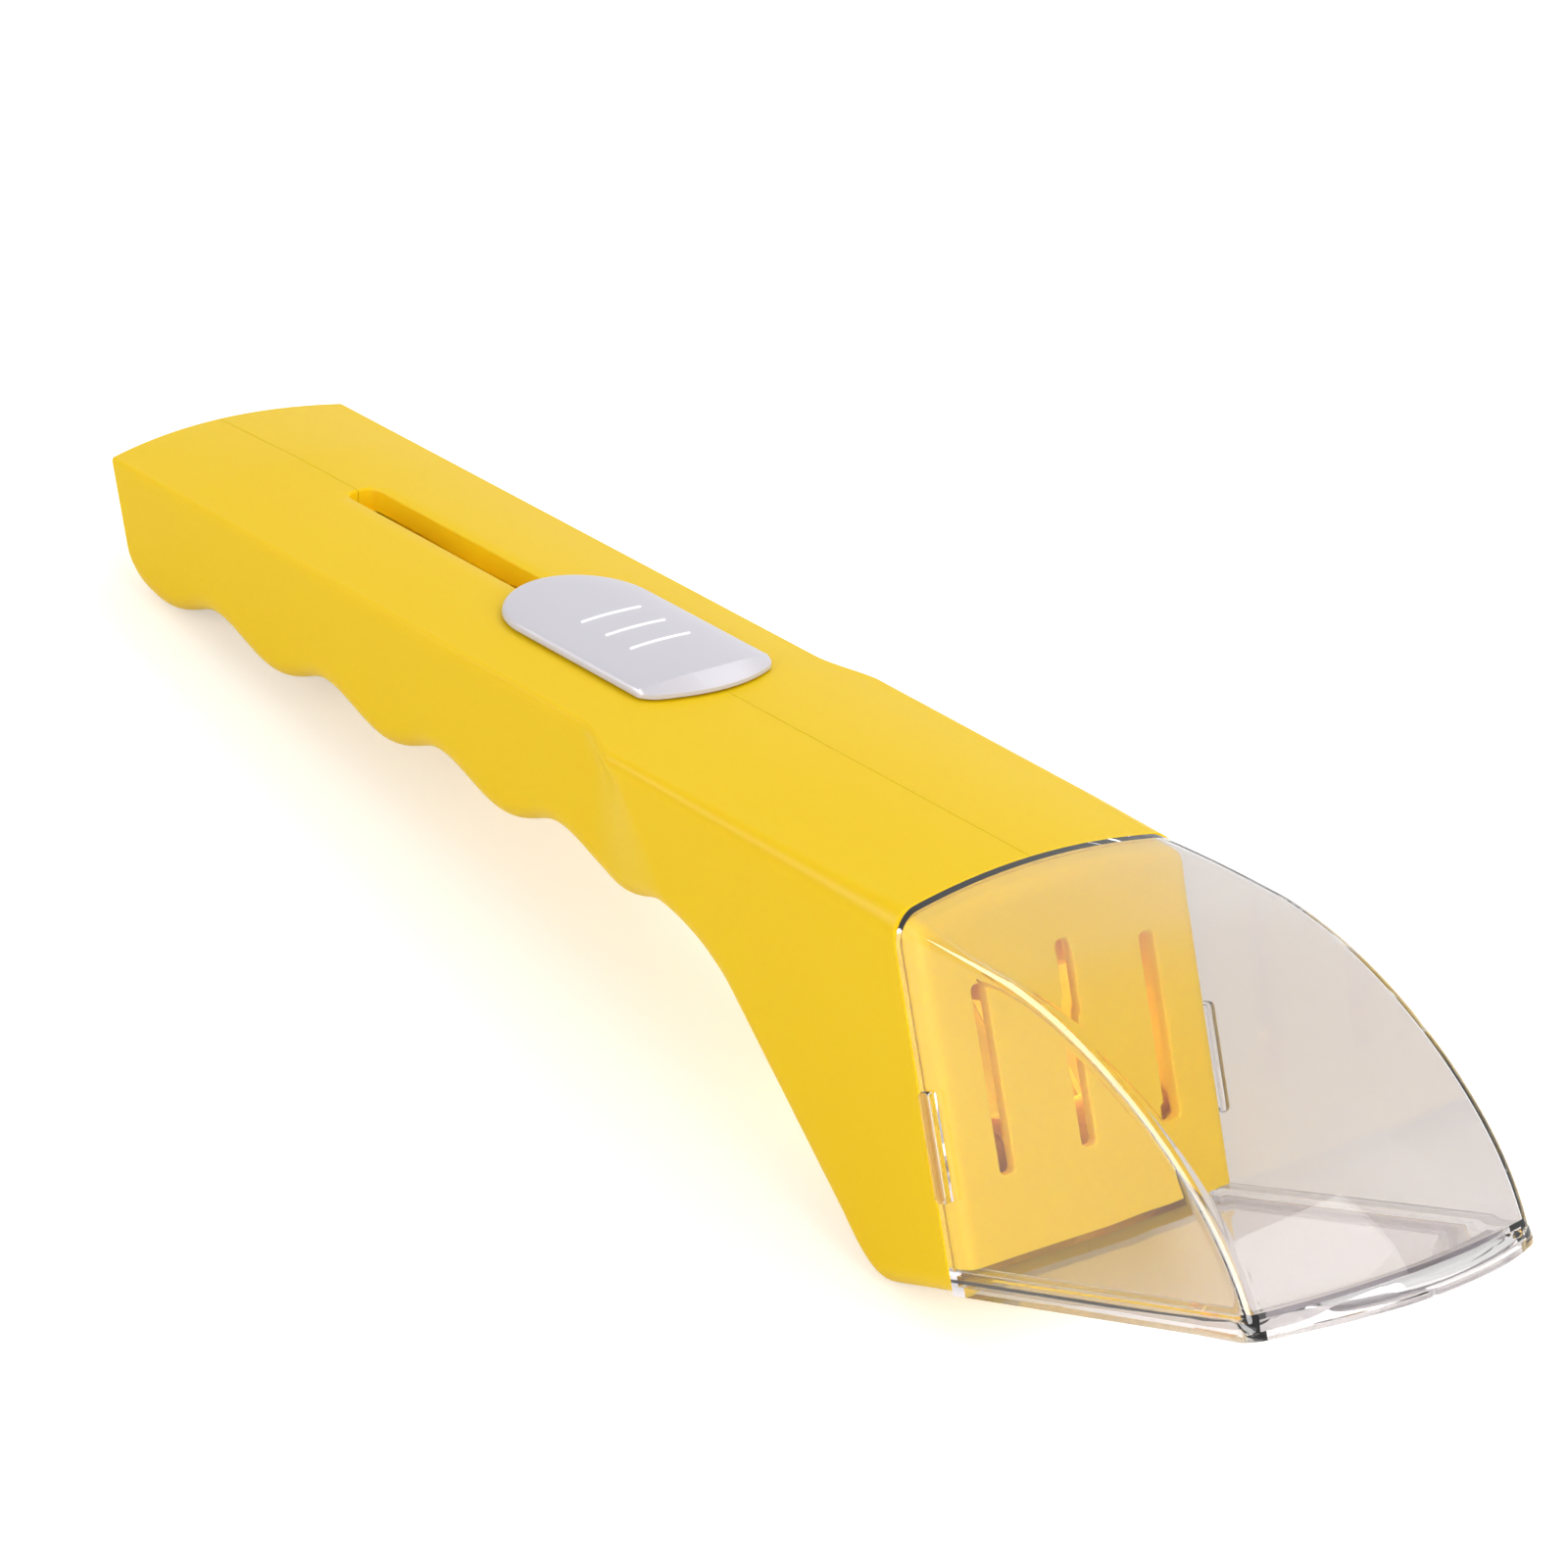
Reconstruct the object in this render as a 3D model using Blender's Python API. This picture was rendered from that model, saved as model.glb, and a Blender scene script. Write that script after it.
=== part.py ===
"""Hand-held spider catcher with a clear cup and a sliding door.

The tool is modelled in its own frame, in metres. X runs forward out of the cup, Y to the left and
Z up from the mouth plane, which is pressed on the wall over the animal. X is zero at the cup's rim.
At the end the finished tool is laid down as it rests on a table, on its belly and its handle's end.
"""

import math

import bmesh
import bpy
from mathutils import Matrix, Vector

# Clearances
GAP = 0.0003
SLIDE_GAP = 0.0004
EMBED = 0.0005
MARGIN = 0.002
WELD_DISTANCE = 0.00002

# Body: handle and head
BODY_LENGTH = 0.1933
TOP_RISE = math.radians(18.1)
RIM_HEIGHT = 0.0564
HEAD_WIDTH = 0.051
HANDLE_WIDTH = 0.0442
CROWN_RADIUS = 0.125
BODY_WALL = 0.0022
TOP_EDGE_RADIUS = 0.0036
LOW_EDGE_RADIUS = 0.0042
LEAST_EDGE_RADIUS = 0.0008
REAR_EDGE_RADIUS = 0.0036
REAR_ARCH = 0.0022
REAR_ARCH_LENGTH = 0.02
STEP_X = -0.065
STEP_Z = 0.075
STEP_LEAN = 0.61
STEP_HALF_LENGTH = 0.0055

# Finger grip and belly, along the underside
GRIP_DEPTH_REAR = 0.0224
GRIP_DEPTH_FRONT = 0.0256
WAVE_HEIGHT = 0.0019
WAVE_PITCH = 0.0288
WAVE_REAR_INSET = 0.0139
BELLY_ANGLE = math.radians(59.5)
BELLY_FOOT_X = -0.0196
BELLY_TOP_X = -0.0495
BODY_FOOT_Z = -0.0007
BELLY_TOP_BLEND = 0.004
BELLY_FOOT_BLEND = 0.006

# Clear cup
CUP_WALL = 0.0016
CUP_EDGE_RADIUS = 0.0012
HOOD_STRAIGHT = 0.0221
HOOD_REAR_PULL = 0.0212
HOOD_FRONT_PULL = 0.0178
CUP_LENGTH = 0.0643
FRONT_BULGE = 0.0042
RAIL_DEPTH = 0.0027
RAIL_FLOOR = 0.0009
GROOVE_HEIGHT = 0.0016
RAIL_ROOF = 0.0008
FRONT_SHARE = 0.94
LIP_REACH = 0.0025
LIP_BULGE = 0.0052
LIP_SIDE = 0.0005
LIP_CORNER = 0.002
LIP_EDGE = 0.001
LIP_TOP_Z = 0.0029
LIP_PAD_START = -0.001
LIP_PAD_END = 0.0228
LIP_PAD_HEIGHT = 0.0015
LIP_PAD_REACH = 0.0003
GROOVE_FRONT_WALL = 0.0008
TAB_LOW_Z = 0.0133
TAB_HIGH_Z = 0.0294
TAB_LENGTH = 0.0027
TAB_HEIGHT = 0.0008
CATCH_HEIGHT = 0.0008

# Front plate with its air slots
PLATE_FRONT_X = 0.004
PLATE_REAR_X = -0.005
PLATE_WALL = 0.0018
PLATE_EDGE_RADIUS = 0.0018
VENT_WIDTH = 0.0026
VENT_PITCH = 0.0146
VENT_LOW_Z = 0.0152
VENT_MIDDLE_TOP_Z = 0.044
VENT_SIDE_TOP_Z = 0.0422
VENT_CORNER = 0.0009
EAR_Y = -0.004
EAR_THICK = 0.002
EAR_RIM = 0.0018

# Door: a flexible sheet with a stiff front edge
SHEET_THICK = 0.0005
SHEET_BEHIND_RIM = 0.0073
SHEET_TAPER = 0.01
TAIL_MARGIN = 0.001
BELLY_BEND_RADIUS = 0.022
HANDLE_BEND_RADIUS = 0.03
BELLY_CLEAR = 0.0012
BAR_DEPTH = 0.003
BAR_HEIGHT = 0.0009

# Thumb slide, with its neck in the slot of the handle's top
SLOT_WIDTH = 0.0054
SLOT_RAIL = 0.0012
BUTTON_FRONT_U = 0.0682
BUTTON_REAR_U = 0.1177
BUTTON_WIDTH = 0.0246
BUTTON_FRONT_SAG = 0.0021
BUTTON_CORNER = 0.0036
BUTTON_REAR_ROUND = 0.0118
BUTTON_SIDE_HEIGHT = 0.0008
BUTTON_EDGE_RADIUS = 0.0005
BUTTON_TOP = 0.0017
BUTTON_CREST = 0.0024
BUTTON_LENS_LOW = 0.0006
BUTTON_RIDGE_BACK = 0.0028
BUTTON_RIDGE_FADE = 0.014
BUTTON_RIB_WIDTH = 0.0007
BUTTON_RIB_HEIGHT = 0.0002
BUTTON_RIB_HALF = 0.0056
BUTTON_RIB_PITCH = 0.0061
BUTTON_RIB_BACK = 0.0183
NECK_BACK = 0.0232
NECK_LENGTH = 0.012

# Carriage inside the handle, and the plate that clamps the sheet's tail to it
CARRIAGE_DROP = 0.004
CARRIAGE_THICK = 0.0022
CARRIAGE_LENGTH = 0.02
SHOE_CLEAR = 0.0029
SHOE_REACH = 0.004
SHOE_LENGTH = 0.0055
LEDGE_THICK = 0.0014
LEDGE_OVERLAP = 0.0016
LEDGE_SPARE = 0.0067
CLAMP_THICK = 0.0015
CLAMP_LENGTH = 0.0165
CLAMP_SCREW_PITCH = 0.0066

# Sheet guides moulded in the shells
GUIDE_THICK = 0.0012
GUIDE_CLEAR = 0.00035
EDGE_GUIDE_REACH = 0.0027
ELBOW_GUIDE_REACH = 0.003

# Screws that close the body, set from the left side, and those of the clamp
BOSS_REAR_INSET = 0.0088
BOSS_REAR_DROP = 0.0117
BOSS_DROP = 0.0163
BOSS_RIM_INSET = 0.012
BOSS_ALONG_SHARES = (0.719, 0.4553)
BOSS_HEIGHT_SHARES = (0.745, 0.248)
BOSS_RADIUS = 0.0034
TUBE_RADIUS = 0.0042
SEAT_Y = 0.008
PILOT_DEPTH = 0.0105
SCREW_RADIUS = 0.00125
SCREW_HEAD_RADIUS = 0.0025
SCREW_HEAD_HEIGHT = 0.0017
SCREW_LENGTH = 0.0162
THREAD_PITCH = 0.0011
THREAD_DEPTH = 0.00022
CROSS_WIDTH = 0.0007
CROSS_SPAN = 0.0028
CROSS_DEPTH = 0.0009
CLAMP_SCREW_RADIUS = 0.0008
CLAMP_HEAD_RADIUS = 0.0016
CLAMP_HEAD_HEIGHT = 0.0012
CLAMP_SCREW_LENGTH = 0.0088
CLAMP_CROSS_SPAN = 0.0018

# How finely round shapes are divided
ARC_STEPS = 4
CAVITY_ARC_STEPS = 3
ROUND_STEPS = 14
HOOD_STEPS = 14

# Colours of the plain CAD materials, with their roughness and opacity
FINISHES = {
    "yellow": ((0.93, 0.58, 0.03), 0.38, 1.0),
    "clear": ((0.86, 0.84, 0.83), 0.05, 0.3),
    "grey": ((0.62, 0.61, 0.64), 0.3, 1.0),
    "white": ((0.8, 0.8, 0.78), 0.4, 1.0),
    "smoke": ((0.45, 0.42, 0.46), 0.1, 0.5),
    "steel": ((0.55, 0.55, 0.56), 0.3, 1.0),
}

HALF_GAP = GAP / 2
HEAD_HALF = HEAD_WIDTH / 2
HANDLE_HALF = HANDLE_WIDTH / 2
GROOVE_LOW_Z = RAIL_FLOOR
GROOVE_HIGH_Z = GROOVE_LOW_Z + GROOVE_HEIGHT
GROOVE_FRONT_X = CUP_LENGTH - GROOVE_FRONT_WALL
RAIL_TOP_Z = GROOVE_HIGH_Z + RAIL_ROOF
RAIL_IN = HEAD_HALF - CUP_WALL - RAIL_DEPTH
SHEET_HALF = HEAD_HALF - BODY_WALL - 2 * GAP
SHEET_Z = GROOVE_LOW_Z + SLIDE_GAP + SHEET_THICK / 2
BAR_LOW_Z = SHEET_Z + SHEET_THICK / 2 + GAP
BAR_FRONT_X = CUP_LENGTH - CUP_WALL - EMBED - GAP
BAR_BULGE = FRONT_BULGE * FRONT_SHARE
PLATE_LOW_Z = RAIL_TOP_Z + GAP
TRAVEL = BAR_FRONT_X + BAR_BULGE - PLATE_FRONT_X
NECK_FRONT_U = BUTTON_FRONT_U + NECK_BACK
NECK_MIDDLE_U = NECK_FRONT_U + NECK_LENGTH / 2
SLOT_FRONT_U = NECK_FRONT_U - GAP
SLOT_REAR_U = NECK_FRONT_U + NECK_LENGTH + TRAVEL + GAP
CARRIAGE_WIDTH = HANDLE_WIDTH - 2 * (BODY_WALL + SHOE_CLEAR)
CARRIAGE_WAIST = CARRIAGE_WIDTH - 2 * SHOE_REACH
CARRIAGE_FRONT_U = NECK_MIDDLE_U - CARRIAGE_LENGTH / 2
CARRIAGE_LOW = CARRIAGE_DROP + CARRIAGE_THICK
LEDGE_FRONT_U = CARRIAGE_FRONT_U - LEDGE_SPARE
LEDGE_REAR_U = CARRIAGE_FRONT_U + CARRIAGE_LENGTH + TRAVEL + LEDGE_SPARE
TAIL_WIDTH = CARRIAGE_WAIST - 2 * TAIL_MARGIN
TAIL_DROP = CARRIAGE_LOW + GAP + SHEET_THICK / 2
CLAMP_WIDTH = TAIL_WIDTH - 2 * TAIL_MARGIN
CLAMP_DROP = TAIL_DROP + SHEET_THICK / 2 + GAP


# Shapes shared by several pieces


def top_z(x):
    """Height of the body's top along its middle."""
    return RIM_HEIGHT - x * math.tan(TOP_RISE)


def crown_drop(y):
    """How far the crowned top falls at y from its middle."""
    return y * y / (2 * CROWN_RADIUS)


def blend_low(a, b, blend):
    """The lower of two heights, rounded where they meet."""
    near = max(blend - abs(a - b), 0) / blend
    return min(a, b) - near * near * blend / 4


def grip_z(x):
    """Underside of the handle, with its finger waves."""
    along = (x + BODY_LENGTH) / (BODY_LENGTH + BELLY_TOP_X)
    depth = GRIP_DEPTH_REAR + (GRIP_DEPTH_FRONT - GRIP_DEPTH_REAR) * along
    phase = 2 * math.pi * (x + BODY_LENGTH - WAVE_REAR_INSET) / WAVE_PITCH
    return top_z(x) - depth + WAVE_HEIGHT * math.sin(phase)


def under_z(x):
    """Underside of the whole body, from the grip down the belly to the flat foot."""
    belly = BODY_FOOT_Z + (BELLY_FOOT_X - x) * math.tan(BELLY_ANGLE)
    above = blend_low(grip_z(x), belly, BELLY_TOP_BLEND)
    return -blend_low(-above, -BODY_FOOT_Z, BELLY_FOOT_BLEND)


def inner_under_z(x, inset):
    """Underside moved inwards by a wall, as a ball of that radius would roll along it."""
    if inset <= 0:
        return under_z(x)
    shares = [step / 8 for step in range(-8, 9)]
    return max(under_z(x + inset * s) + inset * math.sqrt(1 - s * s) for s in shares)


def half_width(x, z):
    """Half width of the body, which steps from the handle to the wider head."""
    middle = STEP_X + (STEP_Z - z) * STEP_LEAN
    share = min(max((x - middle) / STEP_HALF_LENGTH / 2 + 0.5, 0), 1)
    return HANDLE_HALF + (HEAD_HALF - HANDLE_HALF) * share * share * (3 - 2 * share)


def half_section(x, inset, shrink, start, arc_steps=ARC_STEPS):
    """Points (y, z) of one half of the body's cross-section, from the top middle to the bottom middle.

    Inset is the wall left outside, shrink rounds the rear end, and start is the y of the middle points.
    """
    side_steps = arc_steps - 1
    move = inset + shrink
    top = top_z(x) - move / math.cos(TOP_RISE)
    low = inner_under_z(x, inset) + shrink
    slope = (under_z(x + MARGIN / 4) - under_z(x - MARGIN / 4)) / (MARGIN / 2)
    radius = max(TOP_EDGE_RADIUS - inset, LEAST_EDGE_RADIUS)
    low_radius = max(LOW_EDGE_RADIUS - inset, LEAST_EDGE_RADIUS)
    low_height = min(low_radius * math.hypot(1, slope), (top - low) / 3)
    points = []
    side = half_width(x, top) - move
    for step in range(arc_steps):
        y = start + (side - radius - start) * step / side_steps
        points.append((y, top - crown_drop(y)))
    edge = top - crown_drop(side - radius) - radius
    for step in range(1, arc_steps + 1):
        turn = math.pi / 2 * step / arc_steps
        points.append((side - radius + radius * math.sin(turn), edge + radius * math.cos(turn)))
    floor_edge = low + low_height
    for step in range(1, side_steps):
        z = edge + (floor_edge - edge) * step / side_steps
        points.append((half_width(x, z) - move, z))
    side = half_width(x, floor_edge) - move
    for step in range(arc_steps + 1):
        turn = math.pi / 2 * step / arc_steps
        y = side - low_radius + low_radius * math.cos(turn)
        points.append((y, floor_edge - low_height * math.sin(turn)))
    points.append((start, low))
    return points


def body_stations(rear_radius, inset, spacing):
    """Stations (x, shrink) along the body, with the rear end's rounding first."""
    rear = -BODY_LENGTH + inset
    stations = []
    for step in range(ARC_STEPS + 1):
        turn = math.pi / 2 * step / ARC_STEPS
        stations.append((rear + rear_radius * (1 - math.cos(turn)), rear_radius * (1 - math.sin(turn))))
    start, step_start, foot = stations[-1][0], STEP_X + STEP_HALF_LENGTH, 0.7 * BELLY_FOOT_X
    for low, high, width in (
        (start, step_start, spacing),
        (step_start, foot, spacing * 0.62),
        (foot, 0, spacing * 1.6),
    ):
        count = max(round((high - low) / width), 1)
        stations += [(low + (high - low) * n / count, 0) for n in range(1, count + 1)]
    return stations


def arched(x, y, half):
    """X moved back towards the middle of the rear end, which is arched in plan."""
    near = min(max((REAR_ARCH_LENGTH - BODY_LENGTH - x) / REAR_ARCH_LENGTH, 0), 1)
    return x - REAR_ARCH * near * (1 - (y / half) ** 2)


def rim_loop(x, inset, low):
    """Closed loop of the body's outline at x, near the rim, moved inwards and cut off at low."""
    points = half_section(x, inset, 0, 0)
    kept = [(y, z) for y, z in points if z > PLATE_LOW_Z + PLATE_WALL + MARGIN]
    right = kept + [(kept[-1][0], low), (0, low)]
    return [(x, y, z) for y, z in right + [(-y, z) for y, z in reversed(right[1:-1])]]


def turned(x, z, turn, distance):
    """Point at a distance from (x, z), across a direction that has turned up from straight back."""
    return x + distance * math.sin(turn), z + distance * math.cos(turn)


def boss_places():
    """Middle (x, z) of each screw boss, from the handle's end to the rim."""
    handle = [(BOSS_REAR_INSET - BODY_LENGTH, BOSS_REAR_DROP)]
    handle += [(-share * BODY_LENGTH, BOSS_DROP) for share in BOSS_ALONG_SHARES]
    places = [(x, top_z(x) - drop) for x, drop in handle]
    return places + [(-BOSS_RIM_INSET, share * RIM_HEIGHT) for share in BOSS_HEIGHT_SHARES]


class SheetPath:
    """The way that the door takes: along the mouth, up the belly and into the handle."""

    def __init__(self):
        clear = BODY_WALL + BELLY_CLEAR + (BODY_FOOT_Z - SHEET_Z) * math.cos(BELLY_ANGLE)
        foot_x = BELLY_FOOT_X + clear / math.sin(BELLY_ANGLE)
        self.first_cut = BELLY_BEND_RADIUS * math.tan(BELLY_ANGLE / 2)
        self.start_x = foot_x + self.first_cut
        bend = BELLY_ANGLE - TOP_RISE
        tail = top_z(foot_x) - TAIL_DROP / math.cos(TOP_RISE)
        rise = math.sin(BELLY_ANGLE) - math.cos(BELLY_ANGLE) * math.tan(TOP_RISE)
        whole = (tail - SHEET_Z) / rise
        self.straight = whole - self.first_cut - HANDLE_BEND_RADIUS * math.tan(bend / 2)
        self.first_arc = BELLY_BEND_RADIUS * BELLY_ANGLE
        self.second_arc = HANDLE_BEND_RADIUS * bend
        self.second_start = self.first_arc + self.straight
        self.end = self.second_start + self.second_arc

    def at(self, s):
        """Point (x, z) and turn at a length s past the start of the first bend."""
        if s <= 0:
            return self.start_x - s, SHEET_Z, 0
        turn = min(s, self.first_arc) / BELLY_BEND_RADIUS
        x = self.start_x - BELLY_BEND_RADIUS * math.sin(turn)
        z = SHEET_Z + BELLY_BEND_RADIUS * (1 - math.cos(turn))
        run = min(max(s - self.first_arc, 0), self.straight)
        x, z = x - run * math.cos(BELLY_ANGLE), z + run * math.sin(BELLY_ANGLE)
        if s <= self.second_start:
            return x, z, turn
        bent = min(s - self.second_start, self.second_arc) / HANDLE_BEND_RADIUS
        turn = BELLY_ANGLE - bent
        x -= HANDLE_BEND_RADIUS * (math.sin(BELLY_ANGLE) - math.sin(turn))
        z -= HANDLE_BEND_RADIUS * (math.cos(BELLY_ANGLE) - math.cos(turn))
        run = max(s - self.end, 0)
        return x - run * math.cos(turn), z + run * math.sin(turn), turn

    def length_to(self, u):
        """Length s of the point on the handle's straight at a distance u behind the rim."""
        x, z, turn = self.at(self.end)
        here = -x * math.cos(TOP_RISE) + (z - RIM_HEIGHT) * math.sin(TOP_RISE)
        return self.end + u - here


PATH = SheetPath()


def handle_point(u, y, h):
    """Point at u along the handle's top line from the rim, y across, and h above that line."""
    x = -u * math.cos(TOP_RISE) + h * math.sin(TOP_RISE)
    return Vector((x, y, RIM_HEIGHT + u * math.sin(TOP_RISE) + h * math.cos(TOP_RISE)))


def tool_point(x, y, z):
    """Point in the tool's own frame."""
    return Vector((x, y, z))


def across_point(x, z, y):
    """Point of an outline in the side view, at y across."""
    return Vector((x, y, z))


def strip_loop(low, high, half):
    """Cross-section of a flat strip between two points (x, z), with a half width."""
    corners = ((low, -half), (low, half), (high, half), (high, -half))
    return [(x, y, z) for (x, z), y in corners]


# Mesh building


def clear_scene():
    """Remove everything that the file opened with."""
    for item in list(bpy.data.objects):
        bpy.data.objects.remove(item, do_unlink=True)


def add_object(name, mesh_data, finish=None):
    """Make an object from a bmesh, with its normals out, and give it a finish of its own."""
    bmesh.ops.recalc_face_normals(mesh_data, faces=mesh_data.faces)
    mesh = bpy.data.meshes.new(name)
    mesh_data.to_mesh(mesh)
    mesh_data.free()
    made = bpy.data.objects.new(name, mesh)
    bpy.context.scene.collection.objects.link(made)
    if finish is None:
        made.hide_render = True
        made.display_type = "WIRE"
        return made
    colour, roughness, opacity = FINISHES[finish]
    material = bpy.data.materials.new(name)
    material.use_nodes = True
    shader = material.node_tree.nodes["Principled BSDF"]
    shader.inputs["Base Color"].default_value = (*colour, 1.0)
    shader.inputs["Roughness"].default_value = roughness
    shader.inputs["Alpha"].default_value = opacity
    mesh.materials.append(material)
    return made


def add_loft(mesh_data, loops):
    """Add a closed solid through closed loops of the same count, with a face at each end."""
    rows = [[mesh_data.verts.new(point) for point in loop] for loop in loops]
    count = len(rows[0])
    for low, high in zip(rows, rows[1:]):
        for n in range(count):
            after = (n + 1) % count
            mesh_data.faces.new((low[n], low[after], high[after], high[n]))
    mesh_data.faces.new(rows[0])
    mesh_data.faces.new(rows[-1])


def add_prism(mesh_data, outline, place, low, high):
    """Add an outline of two coordinates, extruded from low to high along the third."""
    add_loft(mesh_data, [[place(a, b, c) for a, b in outline] for c in (low, high)])


def add_block(mesh_data, place, spans):
    """Add a box that spans three ranges of the coordinates that place understands."""
    (a0, a1), (b0, b1), (c0, c1) = spans
    add_prism(mesh_data, [(a0, b0), (a1, b0), (a1, b1), (a0, b1)], place, c0, c1)


def circle(a, b, radius, steps=ROUND_STEPS):
    """Outline of a circle about (a, b)."""
    turns = [2 * math.pi * n / steps for n in range(steps)]
    return [(a + radius * math.cos(t), b + radius * math.sin(t)) for t in turns]


def rounded_box(spans, radius):
    """Outline of a rectangle with rounded corners."""
    (a0, a1), (b0, b1) = spans
    corners = ((a1, b1, 0), (a0, b1, 1), (a0, b0, 2), (a1, b0, 3))
    outline = []
    for a, b, quarter in corners:
        side_a = -radius if a == a1 else radius
        side_b = -radius if b == b1 else radius
        for step in range(ARC_STEPS):
            turn = math.pi / 2 * (quarter + step / (ARC_STEPS - 1))
            outline.append((a + side_a + radius * math.cos(turn), b + side_b + radius * math.sin(turn)))
    return outline


def lathe_points(profile, place, steps):
    """Loops of a turned solid from (radius, height) points, with place giving the axis."""
    return [[place(*point, height) for point in circle(0, 0, radius, steps)] for radius, height in profile]


def boolean(target, operand, operation, label):
    """Cut an operand from a target, or join it to the target."""
    step = target.modifiers.new(label, "BOOLEAN")
    step.operation = operation
    step.solver = "EXACT"
    step.use_self = True
    step.object = operand
    weld = target.modifiers.new(label + "_weld", "WELD")
    weld.merge_threshold = WELD_DISTANCE


def smooth(made, degrees):
    """Shade an object smooth, with sharp edges kept where faces turn by more than an angle."""
    mesh = made.data
    for face in mesh.polygons:
        face.use_smooth = True
    edges = bmesh.new()
    edges.from_mesh(mesh)
    for edge in edges.edges:
        turn = edge.calc_face_angle(math.pi)
        edge.smooth = turn < math.radians(degrees)
    edges.to_mesh(mesh)
    edges.free()


# Body shells


def body_half(side):
    """Outer solid of one half of the body."""
    solid = bmesh.new()
    loops = []
    for x, shrink in body_stations(REAR_EDGE_RADIUS, 0, WAVE_PITCH / 8):
        section = half_section(x, 0, shrink, HALF_GAP)
        loops.append([(arched(x, y, HANDLE_HALF), side * y, z) for y, z in section])
    add_loft(solid, loops)
    return solid


def body_cavity(side):
    """Hollow of one half of the body, open at the rim and at the middle, around the half's features."""
    solid = bmesh.new()
    loops = []
    stations = body_stations(REAR_EDGE_RADIUS - BODY_WALL, BODY_WALL, WAVE_PITCH / 4)
    for x, shrink in stations + [(MARGIN, 0)]:
        section = half_section(x, BODY_WALL, shrink, -MARGIN, CAVITY_ARC_STEPS)
        loops.append([(arched(x, y, HANDLE_HALF), side * y, z) for y, z in section])
    add_loft(solid, loops)
    cavity = add_object("left_cavity" if side > 0 else "right_cavity", solid)
    boolean(cavity, shell_features(side), "DIFFERENCE", "features")
    return cavity


def guide_loops(start, stop, steps, low, high, reach):
    """Loops of a guide rib beside the door's path, from its free edge to the side wall."""
    loops = []
    for n in range(steps + 1):
        x, z, turn = PATH.at(start + (stop - start) * n / steps)
        loop = []
        for across in (low, high):
            px, pz = turned(x, z, turn, across)
            wall = half_width(px, pz) - BODY_WALL
            free = wall - reach if reach else TAIL_WIDTH / 2 - ELBOW_GUIDE_REACH
            ends = ((px, free, pz), (px, wall + EMBED, pz))
            loop += ends if across == low else reversed(ends)
        loops.append(loop)
    return loops


def shell_features(side):
    """Bosses, ledges and door guides inside one shell."""
    solid = bmesh.new()
    near = SHEET_THICK / 2 + GUIDE_CLEAR
    far = near + GUIDE_THICK
    elbow_start = PATH.first_arc + PATH.straight * 0.84
    elbow_stop = PATH.end - GUIDE_THICK
    begin = PATH.start_x - (BAR_FRONT_X - BAR_DEPTH - TRAVEL - 2 * GAP)
    runs = (
        (begin, elbow_start - GUIDE_THICK, 22, near, far, EDGE_GUIDE_REACH),
        (elbow_start, elbow_stop, 10, near, far, 0),
        (elbow_start, elbow_stop, 10, -far, -near, 0),
    )
    for start, stop, steps, low, high, reach in runs:
        loops = guide_loops(start, stop, steps, low, high, reach)
        add_loft(solid, [[(x, side * y, z) for x, y, z in loop] for loop in loops])
    shoe_low = -CARRIAGE_LOW - SLIDE_GAP
    ledge_in = side * (CARRIAGE_WIDTH / 2 - LEDGE_OVERLAP)
    ledge_out = side * (HANDLE_HALF - BODY_WALL + EMBED)
    spans = ((LEDGE_FRONT_U, LEDGE_REAR_U), (ledge_in, ledge_out), (shoe_low - LEDGE_THICK, shoe_low))
    add_block(solid, handle_point, spans)
    rail_out = SLOT_WIDTH / 2 + SLOT_RAIL
    spans = (
        (SLOT_FRONT_U - SLOT_RAIL, SLOT_REAR_U + SLOT_RAIL),
        (side * HALF_GAP, side * rail_out),
        (SLIDE_GAP - CARRIAGE_DROP, EMBED - BODY_WALL),
    )
    add_block(solid, handle_point, spans)
    radius = TUBE_RADIUS if side > 0 else BOSS_RADIUS
    for x, z in boss_places():
        wall = half_width(x, z) - BODY_WALL + EMBED
        add_prism(solid, circle(x, z, radius), across_point, side * GAP, side * wall)
    return add_object("left_features" if side > 0 else "right_features", solid)


def slot_cutter():
    """Slot in the handle's top for the thumb slide's neck."""
    solid = bmesh.new()
    half = SLOT_WIDTH / 2
    spans = ((SLOT_FRONT_U, SLOT_REAR_U), (-half, half))
    outline = rounded_box(spans, half * 0.8)
    add_prism(solid, outline, handle_point, -BODY_WALL - MARGIN, MARGIN)
    return add_object("slot_cutter", solid)


def door_channel():
    """Channel for the door in the foot's floor, from the rim to the end of the first bend."""
    solid = bmesh.new()
    start = PATH.start_x - MARGIN
    faces = (-SHEET_THICK / 2 - GUIDE_CLEAR, SHEET_THICK / 2 + GAP)
    loops = []
    for n in range(13):
        x, z, turn = PATH.at(start + (PATH.first_arc - start) * n / 12)
        low, high = (turned(x, z, turn, across) for across in faces)
        loops.append(strip_loop(low, high, SHEET_HALF + GAP))
    add_loft(solid, loops)
    return add_object("door_channel_cutter", solid)


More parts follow.
